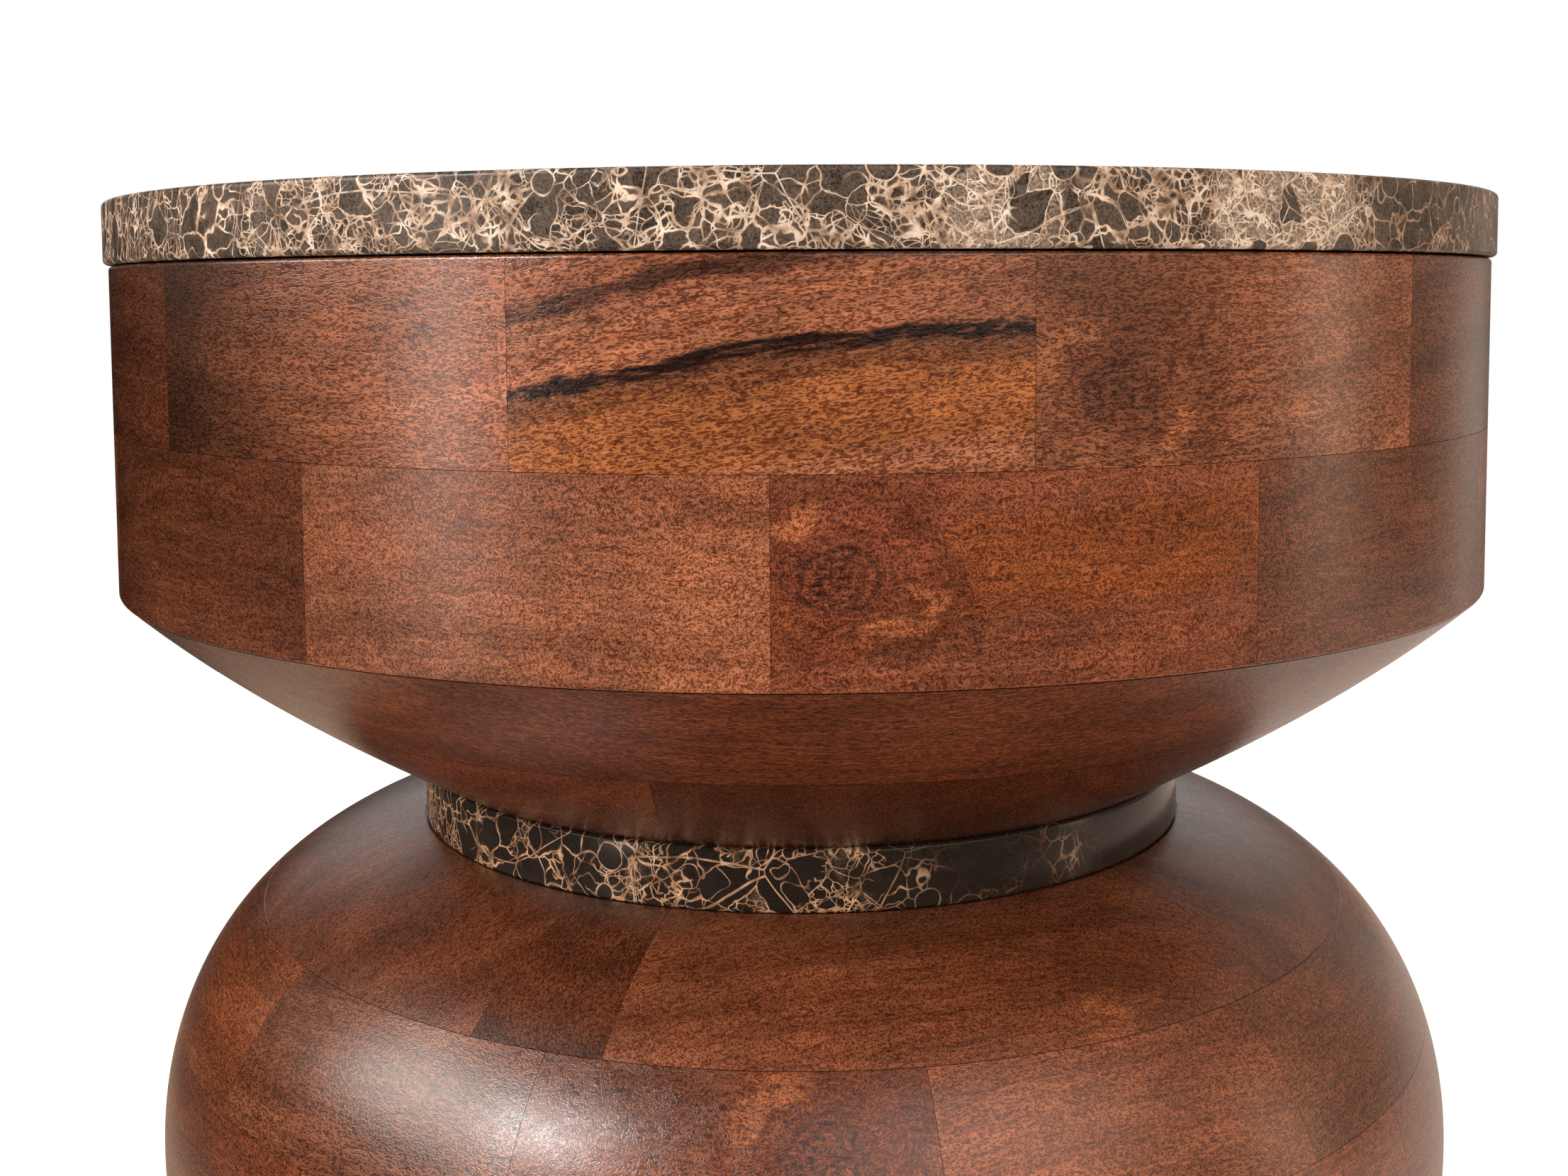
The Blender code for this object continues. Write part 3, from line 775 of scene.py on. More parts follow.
curl = speckle(warped(spot, 0.10, 5.0, seed=15.0), 0.11, seed=13.0, detail=1.0)
curl = fade(calc("ABSOLUTE", calc("SUBTRACT", curl, 0.5)), *CURL, 1.0, 0.0)
curl_here = fade(speckle(spot, 0.07, seed=14.0, detail=1.0), *CURL_PLACES)
curl = times(curl, curl_here, veined)
crack = edge_of(warped(spot, 0.03, 5.0, seed=31.0), CRACK_CELL, seed=29.0)
crack = times(fade(crack, *CRACK, CRACK_STRENGTH, 0.0), veined)
net = largest(net, curl, crack)

egg = cells(warped(spot, 0.12, 2.5, seed=21.0), EGG_CELL, seed=0.0)
egg_chance, egg_size, _ = split(egg["Color"])
egg_radius = calc("MULTIPLY_ADD", egg_size, -EGG_GROWTH, -EGG_SMALLEST)
egg_edge = calc("MULTIPLY_ADD", egg["Distance"], EGG_CELL, egg_radius)
egg_here = fade(egg_chance, *EGG_SHARE, 1.0, 0.0)
egg_out = calc("SUBTRACT", 1.0, times(fade(egg_edge, -0.1, 0.1, 1.0, 0.0), egg_here))
egg_skin = times(fade(calc("ABSOLUTE", egg_edge), *EGG_SKIN, 1.0, 0.0), egg_here, veined)
net = largest(times(net, egg_out), egg_skin)
glow = times(glow, egg_out)
print("stone nodes so far:", len(breccia.nodes))

# %% [markdown]
# ## Stone: colours
#
# Lumps go from near black to grey-brown with a fine mottle, veins from brown to almost white.
# Here and there the broken stone is clouded with cream. The clouds could be a colour over
# everything, but then they hide the veins, so the veins come last and are brighter in a cloud.

# %% Stone colours
DARK_LUMP = (0.020, 0.0138, 0.0105, 1.0)
GREY_LUMP = (0.205, 0.142, 0.104, 1.0)
CREAM = (0.560, 0.400, 0.300, 1.0)
MATRIX = (0.250, 0.152, 0.092, 1.0)
VEIN_TINTS = (
    (0.34, (0.230, 0.130, 0.078)),
    (0.47, (0.580, 0.390, 0.268)),
    (0.60, (0.940, 0.715, 0.550)),
    (0.70, (1.000, 0.860, 0.720)),
)
LUMP_CHANGE, MOTTLE, LUMP_BASE = 0.35, 2.6, -1.08
CLOUD_START, CLOUD_FULL, CLOUD_VEIN = 0.75, 1.25, 0.16
VEIN_DULL = 0.10

mottle = speckle(spot, 1.5, seed=7.0, detail=3.0, roughness=0.7)
lump_tone = calc("MULTIPLY_ADD", mottle, MOTTLE, LUMP_BASE)
lump_tone = calc("MULTIPLY_ADD", chance_middle, LUMP_CHANGE, lump_tone)
lump_tone = calc("MULTIPLY", lump_tone, stone["Lump light"], clamp=True)
cream = calc("ADD", stone["Cream"], speckle(spot, 0.12, seed=9.0, detail=3.0))
cream = times(fade(cream, CLOUD_START, CLOUD_FULL), fade(mottle, 0.35, 0.65, 0.10, 0.8))
cream = times(cream, times(broken, egg_out))
vein_tone = speckle(spot, 0.22, seed=8.0, detail=4.0, roughness=0.6)
vein_tone = calc("MULTIPLY_ADD", cream, CLOUD_VEIN, vein_tone)

stone_colour = mix(lump_tone, DARK_LUMP, GREY_LUMP)
stone_colour = mix(glow, stone_colour, tinted(MATRIX, stone["Vein tint"]))
stone_colour = mix(cream, stone_colour, tinted(CREAM, stone["Vein tint"]))
stone_colour = mix(net, stone_colour, tinted(ramp(vein_tone, VEIN_TINTS), stone["Vein tint"]))
dull = calc("MULTIPLY_ADD", net, VEIN_DULL, stone["Dullness"])
feed(stone_end, {"Colour": stone_colour, "Roughness": dull, "Height": times(net, -1.0)})
print("stone nodes:", len(breccia.nodes))

# %% [markdown]
# ## The two stones
#
# Slab and collar come from one block of stone, but the slab is pale with veins, and the collar is
# almost black, with veins in bunches that thin out to its right. One even stone would miss that,
# so lace, cream and tint change from left to right. Away from the front edge the change drifts
# about, or the top of the slab would show straight stripes.

# %% The two stones
STONE_SPAN = 0.25
DRIFTS_PER_METRE = 14.0
DRIFT_DEPTH, DRIFT = (-0.20, -0.02), (0.015, 0.55)
STONE_BUMP, STONE_BUMP_STRENGTH = 0.00004, 0.3
SLAB_LACE = (
    (-0.190, 0.46), (-0.150, 0.56), (-0.125, 0.78), (0.000, 0.74), (0.045, 0.88), (0.062, 0.58),
    (0.084, 0.58), (0.100, 0.95), (0.134, 0.95), (0.150, 0.50), (0.200, 0.44),
)
SLAB_CREAM = (
    (-0.150, 0.00), (-0.135, 0.40), (-0.120, 0.00), (-0.035, 0.00), (-0.015, 0.30), (0.025, 0.10),
    (0.038, 0.80), (0.054, 0.80), (0.064, 0.00), (0.092, 0.00), (0.108, 1.00), (0.134, 1.00),
    (0.144, 0.00),
)
COLLAR_LACE = (
    (-0.118, 0.50), (-0.102, 0.78), (-0.088, 0.42), (-0.062, 0.34), (-0.049, 0.84), (-0.036, 0.34),
    (-0.020, 0.34), (-0.006, 0.80), (0.008, 0.36), (0.025, 0.78), (0.036, 0.26), (0.052, 0.30),
    (0.066, 0.02), (0.085, -0.08),
)
COLLAR_CREAM = (
    (-0.116, 0.00), (-0.102, 0.50), (-0.088, 0.00), (-0.058, 0.00), (-0.049, 0.55), (-0.040, 0.00),
    (-0.015, 0.00), (-0.006, 0.50), (0.004, 0.00), (0.016, 0.00), (0.025, 0.50), (0.034, 0.00),
)


def across_stone(across, stops):
    """A value that changes from the left of a stone to its right."""
    share = calc("MULTIPLY_ADD", across, 1 / (2 * STONE_SPAN), 0.5)
    return ramp(share, [(0.5 + x / (2 * STONE_SPAN), value) for x, value in stops])


def marble(name, lace, cream, tints, tint_span, lump_light, vein_width, dullness, shine):
    """A polished finish for one of the two stones, which changes from its left to its right."""
    material, tree, shader = fresh_material(name)
    place = put(tree, "ShaderNodeTexCoord").outputs["Object"]
    across, back, _ = split(place)
    drift = noise(scaled(place, DRIFTS_PER_METRE), seed=4.0, detail=3.0)[0]
    drift = calc("SUBTRACT", drift, 0.5)
    across = calc("ADD", across, times(drift, fade(back, *DRIFT_DEPTH, *DRIFT)))
    inputs = {
        "Place": place,
        "Lace": across_stone(across, lace),
        "Cream": across_stone(across, cream),
        "Lump light": lump_light,
        "Vein tint": mix(fade(across, *tint_span), *tints),
        "Vein width": vein_width,
        "Dullness": dullness,
    }
    shown = put(tree, "ShaderNodeGroup", inputs, node_tree=breccia).outputs
    normal = bumped(shown["Height"], STONE_BUMP_STRENGTH, STONE_BUMP)
    look = {"Base Color": shown["Colour"], "Roughness": shown["Roughness"], "Normal": normal}
    feed(shader, {**look, "Specular IOR Level": shine})
    return material


slab_marble = marble(
    "slab_marble", SLAB_LACE, SLAB_CREAM, ((1, 1, 1, 1), (0.60, 0.54, 0.51, 1)), (0.136, 0.152),
    lump_light=1.0, vein_width=1.0, dullness=0.32, shine=0.22,
)
collar_marble = marble(
    "collar_marble", COLLAR_LACE, COLLAR_CREAM,
    ((1.04, 0.84, 0.68, 1), (0.17, 0.12, 0.09, 1)), (0.02, 0.06),
    lump_light=0.14, vein_width=0.85, dullness=0.20, shine=0.22,
)
print("stones:", slab_marble.name, collar_marble.name)

# %% [markdown]
# ## Hidden finishes
#
# A plywood deck, a steel tie and felt glides are out of sight in the usual view, but the deck
# shows in the shadow gap and the felts from below. Their solids are already the right shape, so
# they stay as they are, and each only gets its own finish: one noise, stretched along the ply,
# round the steel, or not at all for felt.


# %% Plywood, steel and felt
def dress(nodes, material):
    """Puts a finish on solids that are left showing."""
    for name in nodes:
        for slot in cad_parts[name].material_slots:
            slot.material = material


def plain_finish(name, stretch, tints, roughness, relief, metallic=0.0):
    """A finish whose colour and relief follow one stretched noise."""
    material, tree, shader = fresh_material(name)
    place = vec("MULTIPLY", put(tree, "ShaderNodeTexCoord").outputs["Object"], stretch)
    value = noise(place, seed=2.0, detail=5.0, roughness=0.65)[0]
    look = {"Base Color": ramp(value, tints), "Roughness": fade(value, 0.3, 0.7, *roughness)}
    feed(shader, {**look, "Normal": bumped(value, 1.0, relief), "Metallic": metallic})
    return material


deck_ply = plain_finish(
    "deck_ply", (40.0, 900.0, 700.0),
    ((0.3, (0.33, 0.21, 0.11)), (0.7, (0.52, 0.37, 0.22))), (0.55, 0.75), 0.0002,
)
tie_steel = plain_finish(
    "tie_steel", (300.0, 300.0, 2500.0),
    ((0.3, (0.44, 0.44, 0.45)), (0.7, (0.60, 0.60, 0.61))), (0.28, 0.45), 0.00005, 1.0,
)
glide_felt = plain_finish(
    "glide_felt", (1800.0, 1800.0, 1800.0),
    ((0.3, (0.025, 0.021, 0.019)), (0.7, (0.075, 0.064, 0.056))), (0.9, 1.0), 0.0006,
)
tie_nodes = ["tie_rod", "tie_nut_upper", "tie_nut_lower", "tie_washer_upper", "tie_washer_lower"]
glide_nodes = [f"glide_{number}" for number in range(1, 5)]
dress(["top_deck"], deck_ply)
dress(tie_nodes, tie_steel)
dress(glide_nodes, glide_felt)
print("solids with their own finish:", 1 + len(tie_nodes) + len(glide_nodes))

# %% [markdown]
# ## Outlines
#
# One turned outline runs over both wood bodies: straight on the drum, a slightly swelling taper
# under it, and a bulb below the collar. Each course is a slice of it. The outlines repeat the
# rules of the solids, and the levels are read from them, widened so that only a hair of dark
# glue shows between courses.

# %% Outlines
GLUE_GAP, GLUE_SEEN = 0.0003, 0.00014
CREEP = (GLUE_GAP - GLUE_SEEN) / 2
OVERHANG, DRUM_WALL = 0.0018, 0.0365
CONE_ARRIS, CONE_BULGE, CONE_END_DIAMETER, COLLAR_SHADOW = 0.0008, 0.006, 0.262, 0.0005
BULB_DIAMETER, BULB_CREST_RATIO = 0.437, 1.07
BULB_HEIGHT_POWER, BULB_RADIUS_POWER = 2.07, 4.26
OUTLINE_STEPS, ROUND_STEPS = 14, 5


def levels(node):
    """The lowest and highest level of a solid."""
    low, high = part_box(node)
    return low[2], high[2]


def width(node):
    """The largest radius of a round solid."""
    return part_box(node)[1][0]


drum_radius = width("marble_top") - OVERHANG
cone_top_radius = drum_radius - CONE_ARRIS
cone_high = levels("cone_upper_panel")[1]
cone_low = levels("marble_collar")[1] + COLLAR_SHADOW
bulb_low = levels("base_foot_panel")[0]
bulb_high = levels("marble_collar")[0] - GLUE_GAP
bulb_equator = (bulb_low + bulb_high) / 2
bulb_crest = BULB_CREST_RATIO * (bulb_high - bulb_low) / 2


def cone_outline(level):
    """Radius of the taper under the drum."""
    share = (cone_high - level) / (cone_high - cone_low)
    straight = cone_top_radius + (CONE_END_DIAMETER / 2 - cone_top_radius) * share
    return straight + CONE_BULGE * 4 * share * (1 - share)


def bulb_outline(level):
    """Radius of the base, alike above and below its widest level."""
    share = abs(level - bulb_equator) / bulb_crest
    return BULB_DIAMETER / 2 * (1 - share**BULB_HEIGHT_POWER) ** (1 / BULB_RADIUS_POWER)


def outline(radius_at, low, high):
    """Points of an outline from a low level to a high one."""
    rise = [low + (high - low) * step / OUTLINE_STEPS for step in range(OUTLINE_STEPS + 1)]
    return [(radius_at(level), level) for level in rise]


def rounded(radius, level, size, upper):
    """An outer edge rounded off, from its lower end to its upper one."""
    points = []
    for step in range(ROUND_STEPS + 1):
        turn = math.pi / 2 * step / ROUND_STEPS
        inwards, towards_level = size * (1 - math.cos(turn)), size * (1 - math.sin(turn))
        if upper:
            points.append((radius - inwards, level - towards_level))
        else:
            points.append((radius - towards_level, level + inwards))
    return points


print("drum radius %.4f, bulb crest %.4f" % (drum_radius, bulb_crest))

# %% [markdown]
# ## A block, swept straight
#
# Every course is a ring of eleven equal blocks and a narrow one that closes it. The blocks could
# be cut from a ring, but the ring would give them no grain of their own. So a node tree makes
# each block by a rule. It begins with a straight rail as long as the block's angle, and sweeps
# the course's section along it. Both ends are flat, as sawn ends are.

# %% Block tree: sweep
BLOCK_INPUTS = (
    ("Section", "Geometry"), ("Start", "Float"), ("Sweep", "Float"), ("Cuts", "Int"),
    ("Pith radius", "Float"), ("Pith level", "Float"), ("Grain tilt", "Float"),
    ("Grain turn", "Float"), *BOARD_INPUTS[1:], ("Finish", "Material"),
)
block_tree = bpy.data.node_groups.new("turned_block", "GeometryNodeTree")
block_sockets = {}
for label, kind in BLOCK_INPUTS:
    socket = block_tree.interface.new_socket(
        label, in_out="INPUT", socket_type="NodeSocket" + kind
    )
    block_sockets[label] = socket.identifier
block_tree.interface.new_socket("Block", in_out="OUTPUT", socket_type="NodeSocketGeometry")
asked = block_tree.nodes.new("NodeGroupInput").outputs


def shape(kind, inputs, **settings):
    """A node of the block tree that puts out a shape."""
    return put(block_tree, "GeometryNode" + kind, inputs, **settings).outputs[0]


rail = shape("CurvePrimitiveLine", {"End": join(asked["Sweep"], 0.0, 0.0)})
rail = shape("ResampleCurve", {"Curve": rail, "Count": asked["Cuts"]})
rail = shape("SetCurveNormal", {"Curve": rail}, mode="Z_UP")
section = shape("MeshToCurve", {0: asked["Section"]})
block = shape("CurveToMesh", {"Curve": rail, "Profile Curve": section, "Fill Caps": True})
print("block inputs:", ", ".join(block_sockets))

# %% [markdown]
# ## The block's place in its board
#
# A block is sawn from a board, so its grain runs straight while its outside is round. For each
# point the tree works out where it would lie in the board: sideways along it, outwards from the
# pith and up from it, turned and tilted as the board was laid on the saw. That place and the
# board's look are stored on the points, and the finish reads them.


# %% Block tree: board
def turned(first, second, angle):
    """Two coordinates, seen from axes that are turned by an angle."""
    cosine, sine = calc("COSINE", angle), calc("SINE", angle)
    return (
        calc("ADD", times(first, cosine), times(second, sine)),
        calc("SUBTRACT", times(second, cosine), times(first, sine)),
    )


swept = split(put(block_tree, "GeometryNodeInputPosition").outputs[0])
radius, level = times(swept[1], -1.0), times(swept[2], -1.0)
from_middle = calc("MULTIPLY_ADD", asked["Sweep"], -0.5, swept[0])
sideways = times(radius, calc("SINE", from_middle))
outwards = times(radius, calc("COSINE", from_middle))
outwards = calc("SUBTRACT", outwards, asked["Pith radius"])
upwards = calc("SUBTRACT", level, asked["Pith level"])
sideways, outwards = turned(sideways, outwards, asked["Grain turn"])
sideways, upwards = turned(sideways, upwards, asked["Grain tilt"])
stored = [("board", "FLOAT_VECTOR", join(sideways, outwards, upwards))]
stored.append(("block_seed", "FLOAT", asked["Seed"]))
for label in ("Look", "Shade", "Knot"):
    stored.append(("block_" + label.lower(), "FLOAT_VECTOR", asked[label]))
for label, kind, value in stored:
    inputs = {"Geometry": block, "Name": label, "Value": value}
    block = shape("StoreNamedAttribute", inputs, data_type=kind)
print("stored on each point:", ", ".join(label for label, kind, value in stored))

# %% [markdown]
# ## The block, bent to its arc
#
# Last, the straight sweep is bent: what was a length along the rail becomes an angle round the
# axis, so both ends point at the axis. The bend mirrors the sweep, which turns it inside out, so
# its faces are flipped back. Realize Instances and Set Material finish the tree.

# %% Block tree: bend
angle = calc("ADD", asked["Start"], swept[0])
bent = join(times(radius, calc("COSINE", angle)), times(radius, calc("SINE", angle)), level)
block = shape("SetPosition", {"Geometry": block, "Position": bent})
block = shape("FlipFaces", {"Mesh": block})
block = shape("RealizeInstances", {"Geometry": block})
block = shape("SetMaterial", {"Geometry": block, "Material": asked["Finish"]})
put(block_tree, "NodeGroupOutput", {0: block})
print("block tree nodes:", len(block_tree.nodes))

# %% [markdown]
# ## Cutting one block
#
# The tree runs as a modifier on the flat section of a course. It could stay live, but a finished
# block should be plain mesh with its grain stored in it. So the result is taken as a new mesh and
# the modifier goes. Each block is a hair narrower than its share, and the hair is the glue joint.

# %% Cut one block
CUT_ANGLE = math.radians(1.0)
CREASE = math.radians(32.0)


def cut_block(name, section, start, sweep, board):
    """One block of a course, between two angles, from its own board."""
    mesh = bpy.data.meshes.new(name + "_section")
    count = len(section)
    mesh.from_pydata(
        [(radius, level, 0.0) for radius, level in section],
        [(index, (index + 1) % count) for index in range(count)],
        [],
    )
    obj = bpy.data.objects.new(name, mesh)
    bpy.context.scene.collection.objects.link(obj)
    modifier = obj.modifiers.new("turned_block", "NODES")
    modifier.node_group = block_tree
    outer = max(radius for radius, level in section)
    heights = [level for radius, level in section]
    hair = GLUE_SEEN / outer
    values = {
        "Start": start + hair / 2,
        "Sweep": sweep - hair,
        "Cuts": max(3, round(sweep / CUT_ANGLE) + 1),
        "Pith radius": outer + board["pith"][0],
        "Pith level": (min(heights) + max(heights)) / 2 + board["pith"][1],
        "Grain tilt": board["tilt"],
        "Grain turn": board["turn"],
        "Finish": block_wood,
    }
    values.update((label, board[label.lower()]) for label in ("Seed", "Look", "Shade", "Knot"))
    for label, value in values.items():
        modifier[block_sockets[label]] = value
    evaluated = obj.evaluated_get(bpy.context.evaluated_depsgraph_get())
    made = bpy.data.meshes.new_from_object(evaluated)
    obj.modifiers.clear()
    obj.data = made
    made.name = name
    made.set_sharp_from_angle(angle=CREASE)
    bpy.data.meshes.remove(mesh)
    return obj


print("a block has a cut every %.0f degree" % math.degrees(CUT_ANGLE))

# %% [markdown]
# ## Boards for the blocks
#
# Most boards are drawn by chance, with a fixed seed so that the table comes out the same each
# time. The blocks that face the viewer were picked by their maker for their figure, so those are
# written down: a front block with black ribbons that climb to the right, and below it one with a
# knot in golden wood. A look is tone, ribbons and gold; a shade is slope, redness and curl. The
# upper blocks at the far left and the right get darker tones, partly as painted shade, and the
# block left of the front gets lighter towards its right, partly as a painted sheen.

# %% Boards
chance = random.Random(7)


def drawn_board(tone, turn):
    """A board as it comes: its pith, grain, seed and look."""
    return {
        "pith": (
            -chance.uniform(0.02, 0.09), chance.choice((-1, 1)) * chance.uniform(0.03, 0.08)
        ),
        "tilt": math.radians(chance.uniform(-2.5, 2.5)),
        "turn": turn,
        "seed": chance.uniform(0.0, 90.0),
        "look": (
            tone * chance.uniform(0.66, 0.90), chance.uniform(0.05, 0.25), chance.uniform(0.0, 0.3)
        ),
        "shade": (
            chance.uniform(-0.4, 0.4), chance.uniform(0.2, 1.0), chance.uniform(0.1, 0.6)
        ),
        "knot": NO_KNOT,
    }


def picked(pith, tilt, seed, look, shade, knot=NO_KNOT, turn=0.0):
    """A board picked for its figure: its pith in metres, its tilt in degrees, its knot in mm."""
    return {
        "pith": pith, "tilt": math.radians(tilt), "turn": turn, "seed": seed,
        "look": look, "shade": shade, "knot": knot,
    }


RADIAL = math.pi / 2
PICKED = {
    # Far left: a darker tone, partly painted shade.
    "drum_upper_block_04": picked((-0.05, 0.06), 1.0, 21.0, (0.35, 0.10, 0.00), (0.0, 0.8, 0.1)),
    # Its slope darkens its left end as partly painted shade and lightens its right as a painted
    # sheen.
    "drum_upper_block_05": picked((-0.06, -0.07), 0.8, 12.0, (0.67, 0.08, 0.05), (1.45, 0.2, 0.1)),
    "drum_upper_block_06": picked((-0.03, 0.060), 7.6, 4.0, (1.22, 1.00, 0.80), (0.0, 0.0, 0.12)),
    "drum_upper_block_07": picked(
        (-0.07, -0.05), 1.5, 33.0, (0.92, 0.10, 0.00), (0.30, 0.1, 0.1), (-39.0, 43.0, 0.50)
    ),
    # Right: a darker tone, partly painted shade.
    "drum_upper_block_08": picked((-0.05, 0.05), -1.0, 47.0, (0.52, 0.10, 0.00), (0.0, 0.3, 0.1)),
    "drum_lower_block_04": picked((-0.05, 0.07), 0.5, 15.0, (0.45, 0.10, 0.00), (0.2, 0.6, 0.4)),
    "drum_lower_block_05": picked((-0.07, 0.08), -0.5, 27.0, (1.03, 0.08, 0.10), (0.15, 0.1, 0.5)),
    "drum_lower_block_06": picked(
        (-0.03, -0.066), 2.0, 39.0, (0.96, 0.25, 0.80), (0.10, 0.7, 0.6), (-43.5, 69.7, 0.85)
    ),
    "drum_lower_block_07": picked((-0.06, 0.06), 1.0, 51.0, (0.60, 0.10, 0.05), (0.0, 0.5, 0.3)),
    "base_shoulder_block_05": picked((-0.06, 0.06), 0.5, 63.0, (0.62, 0.05, 0.05), (0.2, 0.3, 0.2)),
    "base_shoulder_block_06": picked(
        (-0.06, -0.06), 1.0, 71.0, (0.82, 0.08, 0.00), (0.1, 0.6, 0.9), (26.0, 61.0, 0.75)
    ),
    "base_shoulder_block_07": picked(
        (-0.06, 0.05), -0.5, 83.0, (0.95, 0.08, 0.05), (0.0, 0.5, 0.3)
    ),
    "base_shoulder_block_08": picked(
        (-0.05, -0.06), 0.5, 57.0, (0.60, 0.08, 0.05), (0.0, 0.3, 0.3)
    ),
    "base_belt_upper_ring_3": picked((-0.06, 0.05), 0.5, 44.0, (0.62, 0.08, 0.05), (0.0, 1.0, 0.3)),
    "base_cap_panel_0": picked(
        (-0.05, 0.05), 1.0, 18.0, (0.68, 0.10, 0.05), (0.0, 0.4, 0.4), turn=RADIAL
    ),
    "base_cap_panel_1": picked(
        (-0.05, 0.05), 1.0, 66.0, (0.52, 0.30, 0.00), (0.0, 0.5, 0.2), turn=RADIAL
    ),
    "base_cap_panel_2": picked(
        (-0.05, 0.05), 0.0, 24.0, (0.84, 0.10, 0.05), (-0.10, 0.4, 0.5), (51.0, -72.0, 0.5)
    ),
}


def board_for(name, tone=1.0, turn=0.0):
    """The picked board of a block, or one drawn by chance."""
    drawn = drawn_board(tone, turn)
    return PICKED.get(name, drawn)


print("boards picked by hand:", len(PICKED))

# %% [markdown]
# ## Courses of blocks
#
# The two courses of the drum and the shoulder of the base have one solid for each block, so each
# block here stands for its own solid. A course could be one ring with painted joints, but then
# the grain would run on through them. The drum's upper course carries a rabbet for the deck and
# a rounded rim, which catches a line of light under the slab.

# %% Drum and shoulder blocks
FRONT = -math.pi / 2
BLOCKS = 11
CLOSING_ANGLE = math.radians(13.5)
BLOCK_ANGLE = (2 * math.pi - CLOSING_ANGLE) / BLOCKS
DRUM_UPPER_JOINT, DRUM_LOWER_JOINT, SHOULDER_JOINT = -17.5, -1.7, -21.5
RIM_ROUND, ARRIS_STEP, BULB_WALL = 0.0011, 0.0004, 0.038


def finish_piece(obj, slot, *nodes):
    """Lets a piece ride on the table and stand for its solids."""
    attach(obj, "root")
    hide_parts(*nodes)
    return obj


def lay_course(name, section, joint):
    """The blocks of a course, with one joint at an angle right of the front."""
    start = FRONT + math.radians(joint) - (BLOCKS // 2) * BLOCK_ANGLE
    labels = [f"{name}_block_{index + 1:02d}" for index in range(BLOCKS)]
    labels.append(f"{name}_closing_block")
    for index, label in enumerate(labels):
        sweep = BLOCK_ANGLE if index < BLOCKS else CLOSING_ANGLE
        piece = cut_block(label, section, start + index * BLOCK_ANGLE, sweep, board_for(label))
        finish_piece(piece, "block_wood", label)
    print(name, "blocks:", len(labels), "faces each:", len(piece.data.polygons))


def ring_section(low, high):
    """The section of a ring of the base."""
    bore = min(bulb_outline(low), bulb_outline(high)) - BULB_WALL
    low, high = low - CREEP, high + CREEP
    return [(bore, low)] + outline(bulb_outline, low, high) + [(bore, high)]


drum_bore = drum_radius - DRUM_WALL
deck_radius = width("top_deck") + GLUE_GAP
deck_seat = levels("top_deck")[0] - GLUE_GAP
upper_low, upper_high = levels("drum_upper_block_01")
upper_section = [(drum_bore, upper_low - CREEP), (drum_radius, upper_low - CREEP)]
upper_section += rounded(drum_radius, upper_high, RIM_ROUND, True)
upper_section += [(deck_radius, upper_high), (deck_radius, deck_seat), (drum_bore, deck_seat)]
lay_course("drum_upper", upper_section, DRUM_UPPER_JOINT)

lower_low, lower_high = levels("drum_lower_block_01")
lower_low, lower_high = lower_low - CREEP, lower_high + CREEP
lower_section = [(drum_bore, lower_low), (drum_radius - CONE_ARRIS - ARRIS_STEP, lower_low)]
lower_section += rounded(drum_radius, lower_low, CONE_ARRIS, False)
lower_section += [(drum_radius, lower_high), (drum_bore, lower_high)]
lay_course("drum_lower", lower_section, DRUM_LOWER_JOINT)
lay_course("base_shoulder", ring_section(*levels("base_shoulder_block_01")), SHOULDER_JOINT)

# %% [markdown]
# ## Rings and the cap of the base
#
# The lower rings of the base are glued up from blocks too, but each ring is one solid, so its
# blocks are joined to one piece. The cap is a ring of wedges whose grain runs outwards, with one
# long wedge in front and a narrow closing one beside it. A shallow seat in it holds the collar.

# %% Ring blocks
CAP_JOINTS = (-60.4, -29.0, -16.5, 46.5, 78.0, 109.5, 141.0, 172.5, 204.0, 235.5, 267.5)
CAP_TONE = 0.92
RING_JOINTS = {
    "base_belt_upper_ring": -166.0, "base_belt_lower_ring": -152.0, "base_heel_ring": -171.0,
}
TIE_HOLE_RADIUS = 0.0055


def join_blocks(name, blocks):
    """Several blocks as one piece."""
    with bpy.context.temp_override(active_object=blocks[0], selected_editable_objects=blocks):
        bpy.ops.object.join()
    blocks[0].name = name
    blocks[0].data.name = name
    return blocks[0]


def glue_ring(name, section, joints, tone=1.0, turn=0.0):
    """A ring of blocks between the given joints, as one piece."""
    blocks = []
    for index, (joint, following) in enumerate(zip(joints, (*joints[1:], joints[0] + 360.0))):
        start, sweep = FRONT + math.radians(joint), math.radians(following - joint)
        label = f"{name}_{index}"
        blocks.append(cut_block(label, section, start, sweep, board_for(label, tone, turn)))
    ring = finish_piece(join_blocks(name, blocks), "block_wood", name)
    print(name, "blocks:", len(joints), "faces:", len(ring.data.polygons))


cap_low, lip_high = levels("base_cap_panel")
seat_radius = width("marble_collar") + GLUE_GAP
cap_section = [(TIE_HOLE_RADIUS, cap_low - CREEP)]
cap_section += outline(bulb_outline, cap_low - CREEP, lip_high)
cap_section += [(seat_radius, lip_high), (seat_radius, bulb_high), (TIE_HOLE_RADIUS, bulb_high)]
glue_ring("base_cap_panel", cap_section, CAP_JOINTS, CAP_TONE, RADIAL)
for ring_name, first in RING_JOINTS.items():
    joints = [first + math.degrees(BLOCK_ANGLE) * index for index in range(BLOCKS + 1)]
    glue_ring(ring_name, ring_section(*levels(ring_name)), joints)

# %% [markdown]
# ## Full turns
#
# The stones and the panels of the taper are turned in one piece. A modifier could turn them, but
# spinning a section in mesh code gives the seam and the pole directly, ready to be merged. A
# spin can come out inside out, so the normals are worked out again after the merge.

# %% Turned pieces
TURN_STEPS = 360
WELD = 0.00001
SLAB_ARRIS = 0.0014
BOSS_RADIUS = 0.118


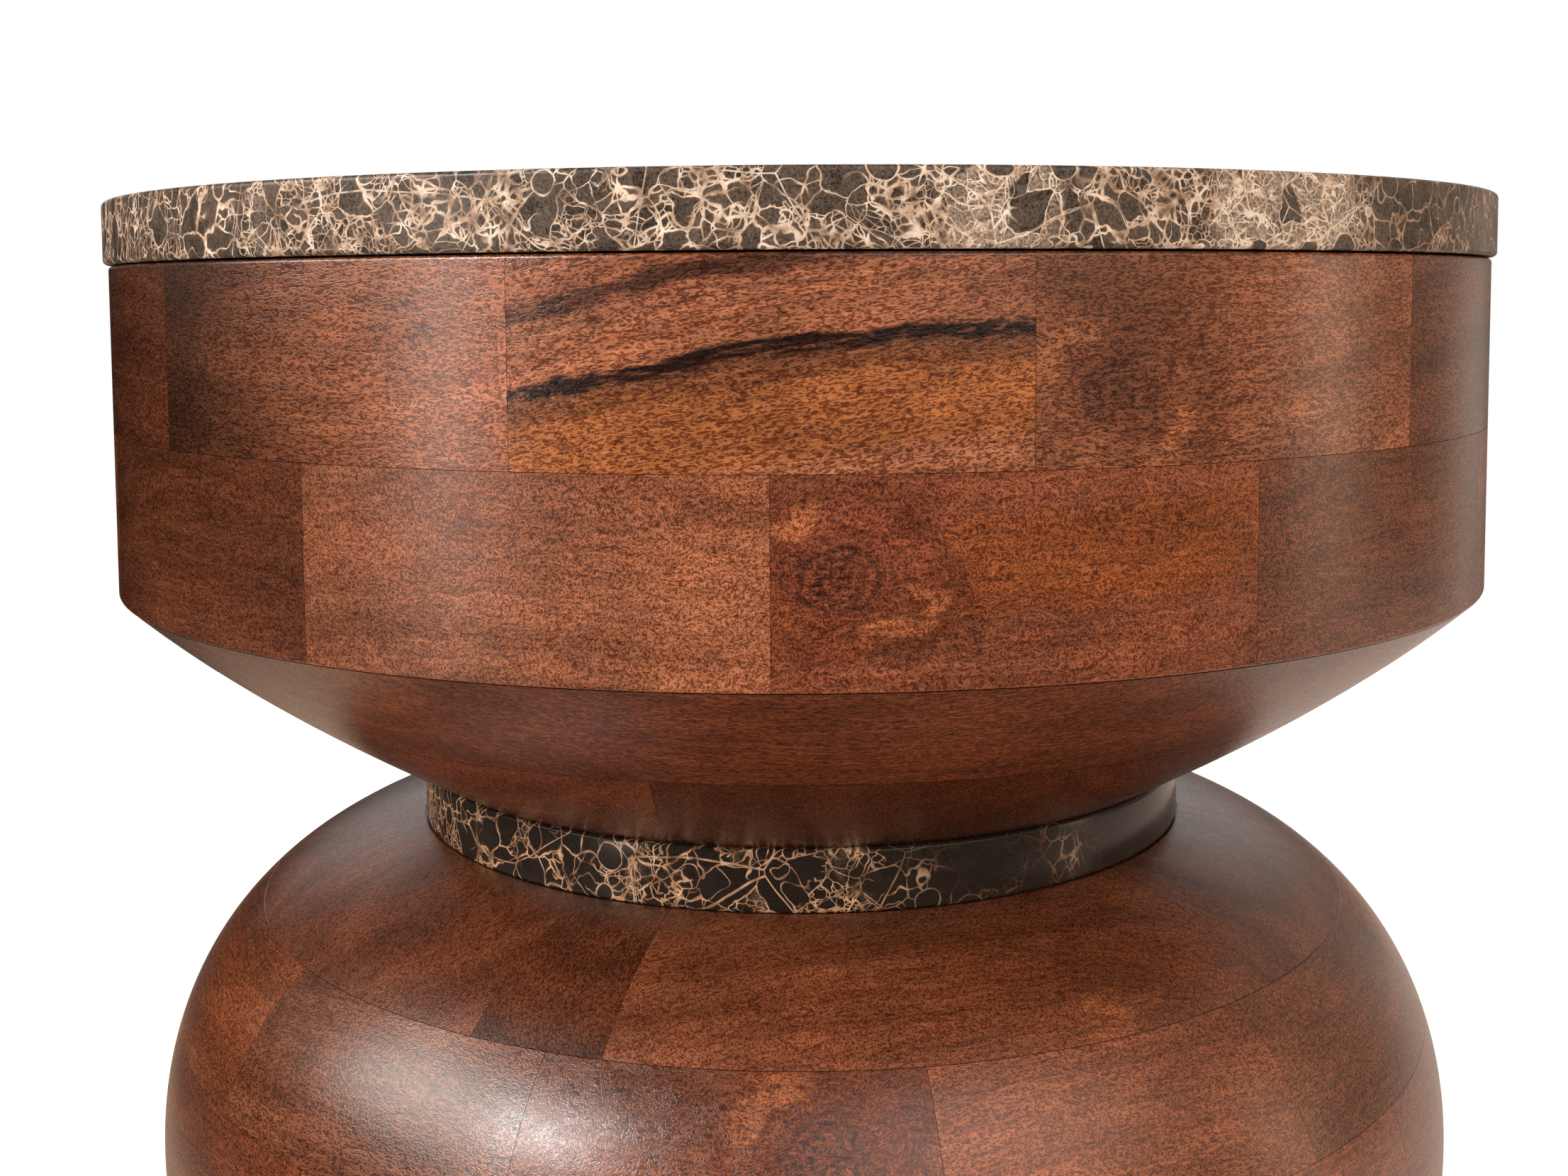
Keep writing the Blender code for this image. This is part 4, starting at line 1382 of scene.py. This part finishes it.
def turn_piece(name, section, material, slot):
    """A full turn of a closed section, as one piece for the solid of that name."""
    bm = bmesh.new()
    points = [bm.verts.new((radius, 0.0, level)) for radius, level in section]
    for index, point in enumerate(points):
        bm.edges.new((point, points[(index + 1) % len(points)]))
    bmesh.ops.spin(
        bm, geom=bm.verts[:] + bm.edges[:], cent=(0, 0, 0), axis=(0, 0, 1),
        angle=2 * math.pi, steps=TURN_STEPS,
    )
    bmesh.ops.remove_doubles(bm, verts=bm.verts, dist=WELD)
    bmesh.ops.recalc_face_normals(bm, faces=bm.faces)
    mesh = bpy.data.meshes.new(name)
    bm.to_mesh(mesh)
    bm.free()
    mesh.shade_smooth()
    mesh.set_sharp_from_angle(angle=CREASE)
    mesh.materials.append(material)
    obj = bpy.data.objects.new(name, mesh)
    bpy.context.scene.collection.objects.link(obj)
    finish_piece(obj, slot, name)
    print(name, "faces:", len(mesh.polygons))


def slab_section(node, inner):
    """A stone slab's section with both outer edges eased."""
    low, high = levels(node)
    edge = min(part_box(node)[1][:2])
    eased = rounded(edge, low, SLAB_ARRIS, False) + rounded(edge, high, SLAB_ARRIS, True)
    return [(inner, low), *eased, (inner, high)]


def panel_section(inner, radius_at, low, high):
    """A panel's section, from its hole to its outline."""
    return [(inner, low), *outline(radius_at, low, high), (inner, high)]


turn_piece("marble_top", slab_section("marble_top", 0.0), slab_marble, "marble")
collar_section = slab_section("marble_collar", TIE_HOLE_RADIUS)
turn_piece("marble_collar", collar_section, collar_marble, "marble")
low, high = levels("cone_upper_panel")
upper_panel = panel_section(TIE_HOLE_RADIUS, cone_outline, low - CREEP, high)
turn_piece("cone_upper_panel", upper_panel, cone_upper_wood, "block_wood")
low, high = levels("cone_lower_panel")
boss = [(TIE_HOLE_RADIUS, low), (BOSS_RADIUS, low), (BOSS_RADIUS, cone_low)]
lower_panel = boss + panel_section(TIE_HOLE_RADIUS, cone_outline, cone_low, high + CREEP)[1:]
turn_piece("cone_lower_panel", lower_panel, cone_lower_wood, "block_wood")
low, high = levels("base_foot_panel")
foot_panel = panel_section(0.0, bulb_outline, low, high + CREEP)
turn_piece("base_foot_panel", foot_panel, foot_wood, "block_wood")
